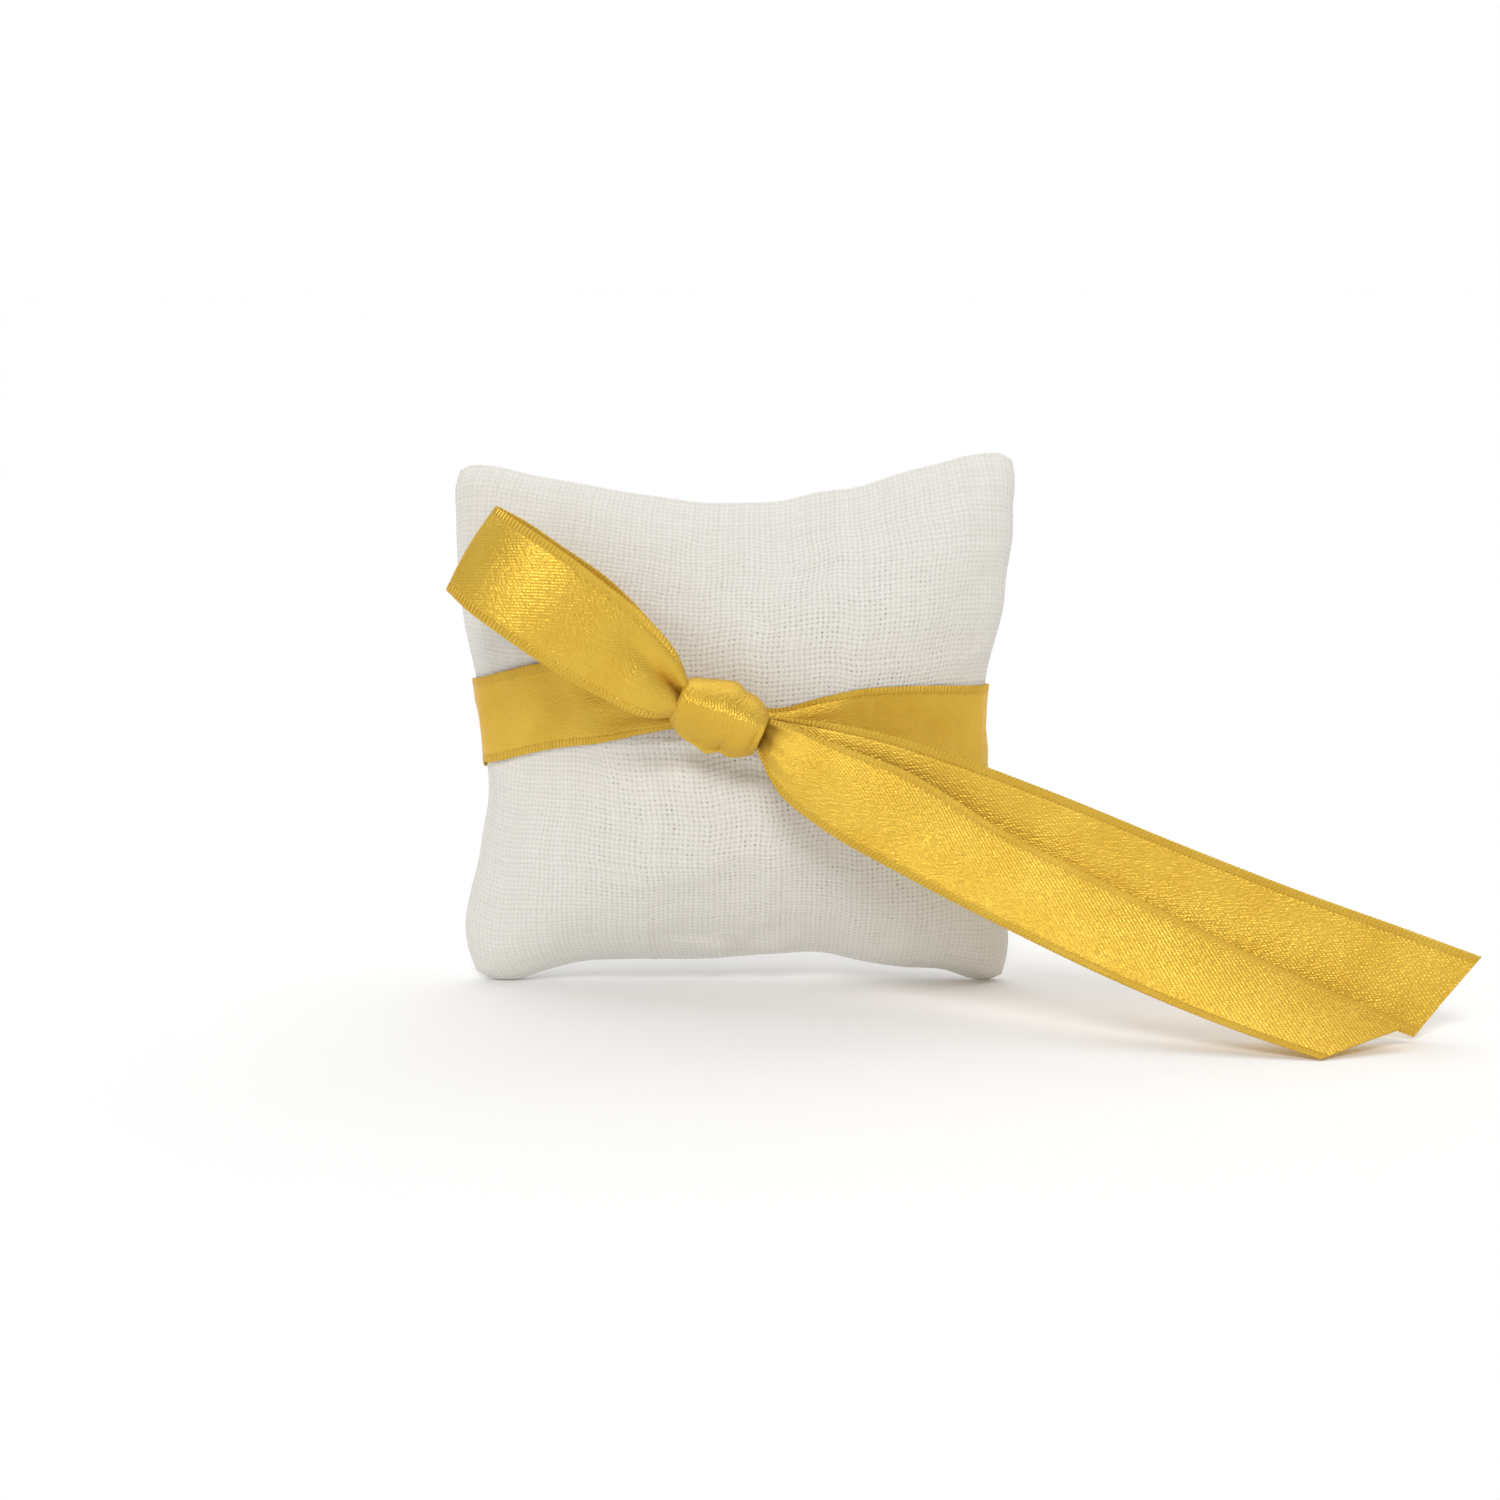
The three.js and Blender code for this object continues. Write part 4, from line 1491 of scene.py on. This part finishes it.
@dataclass
class Tail:
    """A loose end of the ribbon, from the knot's right mouth to the floor."""

    ribbon: Ribbon
    name: str
    node: str
    body: str
    lower: Line
    upper: Line
    start: float
    fold: Any
    root_body: str = "pillow"
    # A stretch from the knot's mouth outwards; build turns its ends into metres and uses them no further.
    bend: tuple[tuple[float, float, float], ...] = ((2.9, -16.0, 31.7), (7.0, -16.0, 30.1))

    def build(self) -> None:
        """Makes the tail with its slanted cut."""
        rows = self.ribbon.rows_for(80.0)
        surface = self.ribbon.between(
            self.lower, self.upper, rows, lambda along, across: -self.fold(along, across)
        )
        length = length_of(surface)
        piece = self.ribbon.build(self.name, surface, length, start=self.start)
        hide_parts(self.node)
        start, end = self.bend
        place = self.ribbon.place
        place.point(*start)
        place.point(*end)
        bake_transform(piece)

    @staticmethod
    def front_fold(along: Points, across: Points) -> Points:
        """Returns the front tail's gathers at the knot and its gentle crown beyond."""
        root = 1 - smooth(along, 0.0, 0.3)
        gathers = 0.16 * np.sin(2 * np.pi * 3.5 * across + 1.0) * (1 - smooth(along, 0, 0.12))
        belly = 1.15 * np.sin(np.pi * across) * root * smooth(along, 0.0, 0.035)
        crown = 0.25 * np.sin(np.pi * across) * smooth(along, 0.0, 0.4)
        return gathers + belly + crown

    @staticmethod
    def rear_fold(along: Points, across: Points) -> Points:
        """Returns the rear tail's hollow, which opens as it leaves the knot."""
        root = 1 - smooth(along, 0.0, 0.28)
        hollow = -0.55 * np.sin(np.pi * across) * smooth(along, 0.04, 0.3)
        return hollow * (1 - 0.6 * smooth(along, 0.6, 1.0)) + 0.2 * root * np.sin(np.pi * across)


# ---------------------------------------------------------------- the studio


@dataclass
class Studio:
    """A pale floor, soft light and the camera."""

    place: Place
    elevation: float = 10.0
    distance: float = 350.0
    aim: tuple[float, float, float] = (1.486, 0.0, 27.0)
    lens: float = 73.5
    sky_overhead: float = 0.16
    key_from: tuple[float, float, float] = (-0.08, -0.76, 0.645)
    key_spread: float = 20.0
    key_power: float = 1.32
    top_from: tuple[float, float, float] = (0.05, 0.33, 0.943)
    top_spread: float = 76.0
    top_power: float = 1.78

    def set_camera(self) -> None:
        """Puts the camera in front and a little above."""
        data = bpy.data.cameras.new("camera")
        data.lens, data.sensor_width, data.sensor_fit = self.lens, 36.0, "HORIZONTAL"
        data.clip_start, data.clip_end = 0.01, 20.0
        camera = bpy.data.objects.new("camera", data)
        bpy.context.scene.collection.objects.link(camera)
        tilt = math.radians(self.elevation)
        back = Vector((0, -math.cos(tilt), math.sin(tilt)))
        camera.location = Vector(self.place.point(*self.aim)) + back * self.distance * MM
        camera.rotation_mode = "QUATERNION"
        camera.rotation_quaternion = (-back).to_track_quat("-Z", "Y")
        bpy.context.scene.camera = camera

    def lay_floor(self) -> None:
        """Lays the floor under everything."""
        reach = 3000.0
        steps = np.linspace(-reach, reach, 9)
        x, y = np.meshgrid(steps, steps)
        points = np.stack([x, y, np.zeros_like(x)], -1).reshape(-1, 3)
        ids = np.arange(81).reshape(9, 9)
        faces = np.stack(
            [ids[:-1, :-1], ids[:-1, 1:], ids[1:, 1:], ids[1:, :-1]], -1
        ).reshape(-1, 4)
        floor = mesh_piece("floor", self.place.metres(points), faces)
        MattFloor().put_on(floor)

    def light(self) -> None:
        """Fills the room with white light from low down, and adds a key and a top light."""
        scene = bpy.context.scene
        world = bpy.data.worlds.new("white_room")
        world.use_nodes = True
        tree = world.node_tree
        sky = tree.nodes["Background"]
        way = add_node(tree, "TexCoord").outputs["Generated"]
        height = add_node(tree, "SeparateXYZ", {0: way}).outputs["Z"]
        level = add_node(
            tree, "MapRange", {"Value": height, 1: 0.22, 2: 0.42, 3: 1.0, 4: self.sky_overhead}
        )
        tree.links.new(level.outputs[0], sky.inputs["Strength"])
        sky.inputs["Color"].default_value = (1.0, 1.0, 1.0, 1.0)
        scene.world = world
        for name, toward, spread, power in (
            ("key", self.key_from, self.key_spread, self.key_power),
            ("top", self.top_from, self.top_spread, self.top_power),
        ):
            data = bpy.data.lights.new(name, "SUN")
            data.angle, data.energy = math.radians(spread), power
            lamp = bpy.data.objects.new(name, data)
            lamp.location = self.place.point(*(600 * value for value in toward))
            lamp.rotation_mode = "QUATERNION"
            lamp.rotation_quaternion = (-Vector(toward)).to_track_quat("-Z", "Y")
            scene.collection.objects.link(lamp)
        scene.view_settings.view_transform = "Standard"
        scene.view_settings.look = "None"


def main() -> None:
    """Builds the studio, the pillow and its ribbon."""
    logging.basicConfig(level=logging.INFO, format="%(name)s: %(message)s")
    place = Place.of_pillow()
    studio = Studio(place)
    studio.set_camera()
    studio.lay_floor()
    studio.light()

    pillow = Pillow(place)
    pillow.shape()
    ribbon = Ribbon(place, SatinRibbon())
    Band(ribbon, pillow).build()
    pillow.crease(Side.FRONT, (-8.0, 29.8), 6.0, 5.5, 0.5, 0.5)
    pillow.crease(Side.FRONT, (-6.0, 28.4), 4.0, 7.0, 1.1, -0.8)
    pillow.crease(Side.FRONT, (1.5, 26.8), -12.0, 4.0, 1.2, -0.7)
    pillow.build(WovenCotton(), FibreWadding(), SpunThread())
    Knot(ribbon).build()
    Loop(ribbon).build()
    Tail(
        ribbon,
        "tail_rear_ribbon",
        "ribbon_tail_rear",
        "tail_rear",
        lower=[
            (2.3, -15.6, 30.1), (6.9, -17.4, 24.9), (14.6, -18.3, 20.8), (24.3, -19.8, 17.9),
            (35.2, -21.8, 14.5), (48.2, -23.9, 9.4), (61.3, -25.5, 4.6), (72.7, -26.4, 0.4),
        ],
        upper=[
            (3.8, -15.4, 33.4), (10.4, -17.1, 32.9), (16.3, -17.7, 31.8), (22.8, -18.6, 29.9),
            (34.9, -20.2, 25.6), (47.8, -21.8, 20.5), (60.6, -23.4, 15.7), (71.3, -24.6, 12.0),
            (79.8, -25.6, 9.0),
        ],
        start=190.0,
        fold=Tail.rear_fold,
    ).build()
    Tail(
        ribbon,
        "tail_front_ribbon",
        "ribbon_tail_front",
        "tail_front",
        lower=[
            (2.3, -16.8, 29.9), (4.7, -19.2, 25.6), (9.0, -20.5, 22.2), (17.6, -22.5, 17.5),
            (28.2, -25.2, 12.4), (40.7, -28.8, 7.0), (53.1, -32.4, 2.6), (61.3, -34.5, 0.2),
        ],
        upper=[
            (3.8, -16.5, 33.3), (6.9, -18.0, 32.5), (11.5, -18.9, 30.7), (17.8, -19.9, 28.4),
            (28.8, -21.7, 22.0), (45.1, -24.7, 14.2), (57.6, -27.2, 8.4), (71.7, -29.6, 2.5),
        ],
        start=230.0,
        fold=Tail.front_fold,
        root_body="tail_rear",
    ).build()


if __name__ == "__main__":
    main()
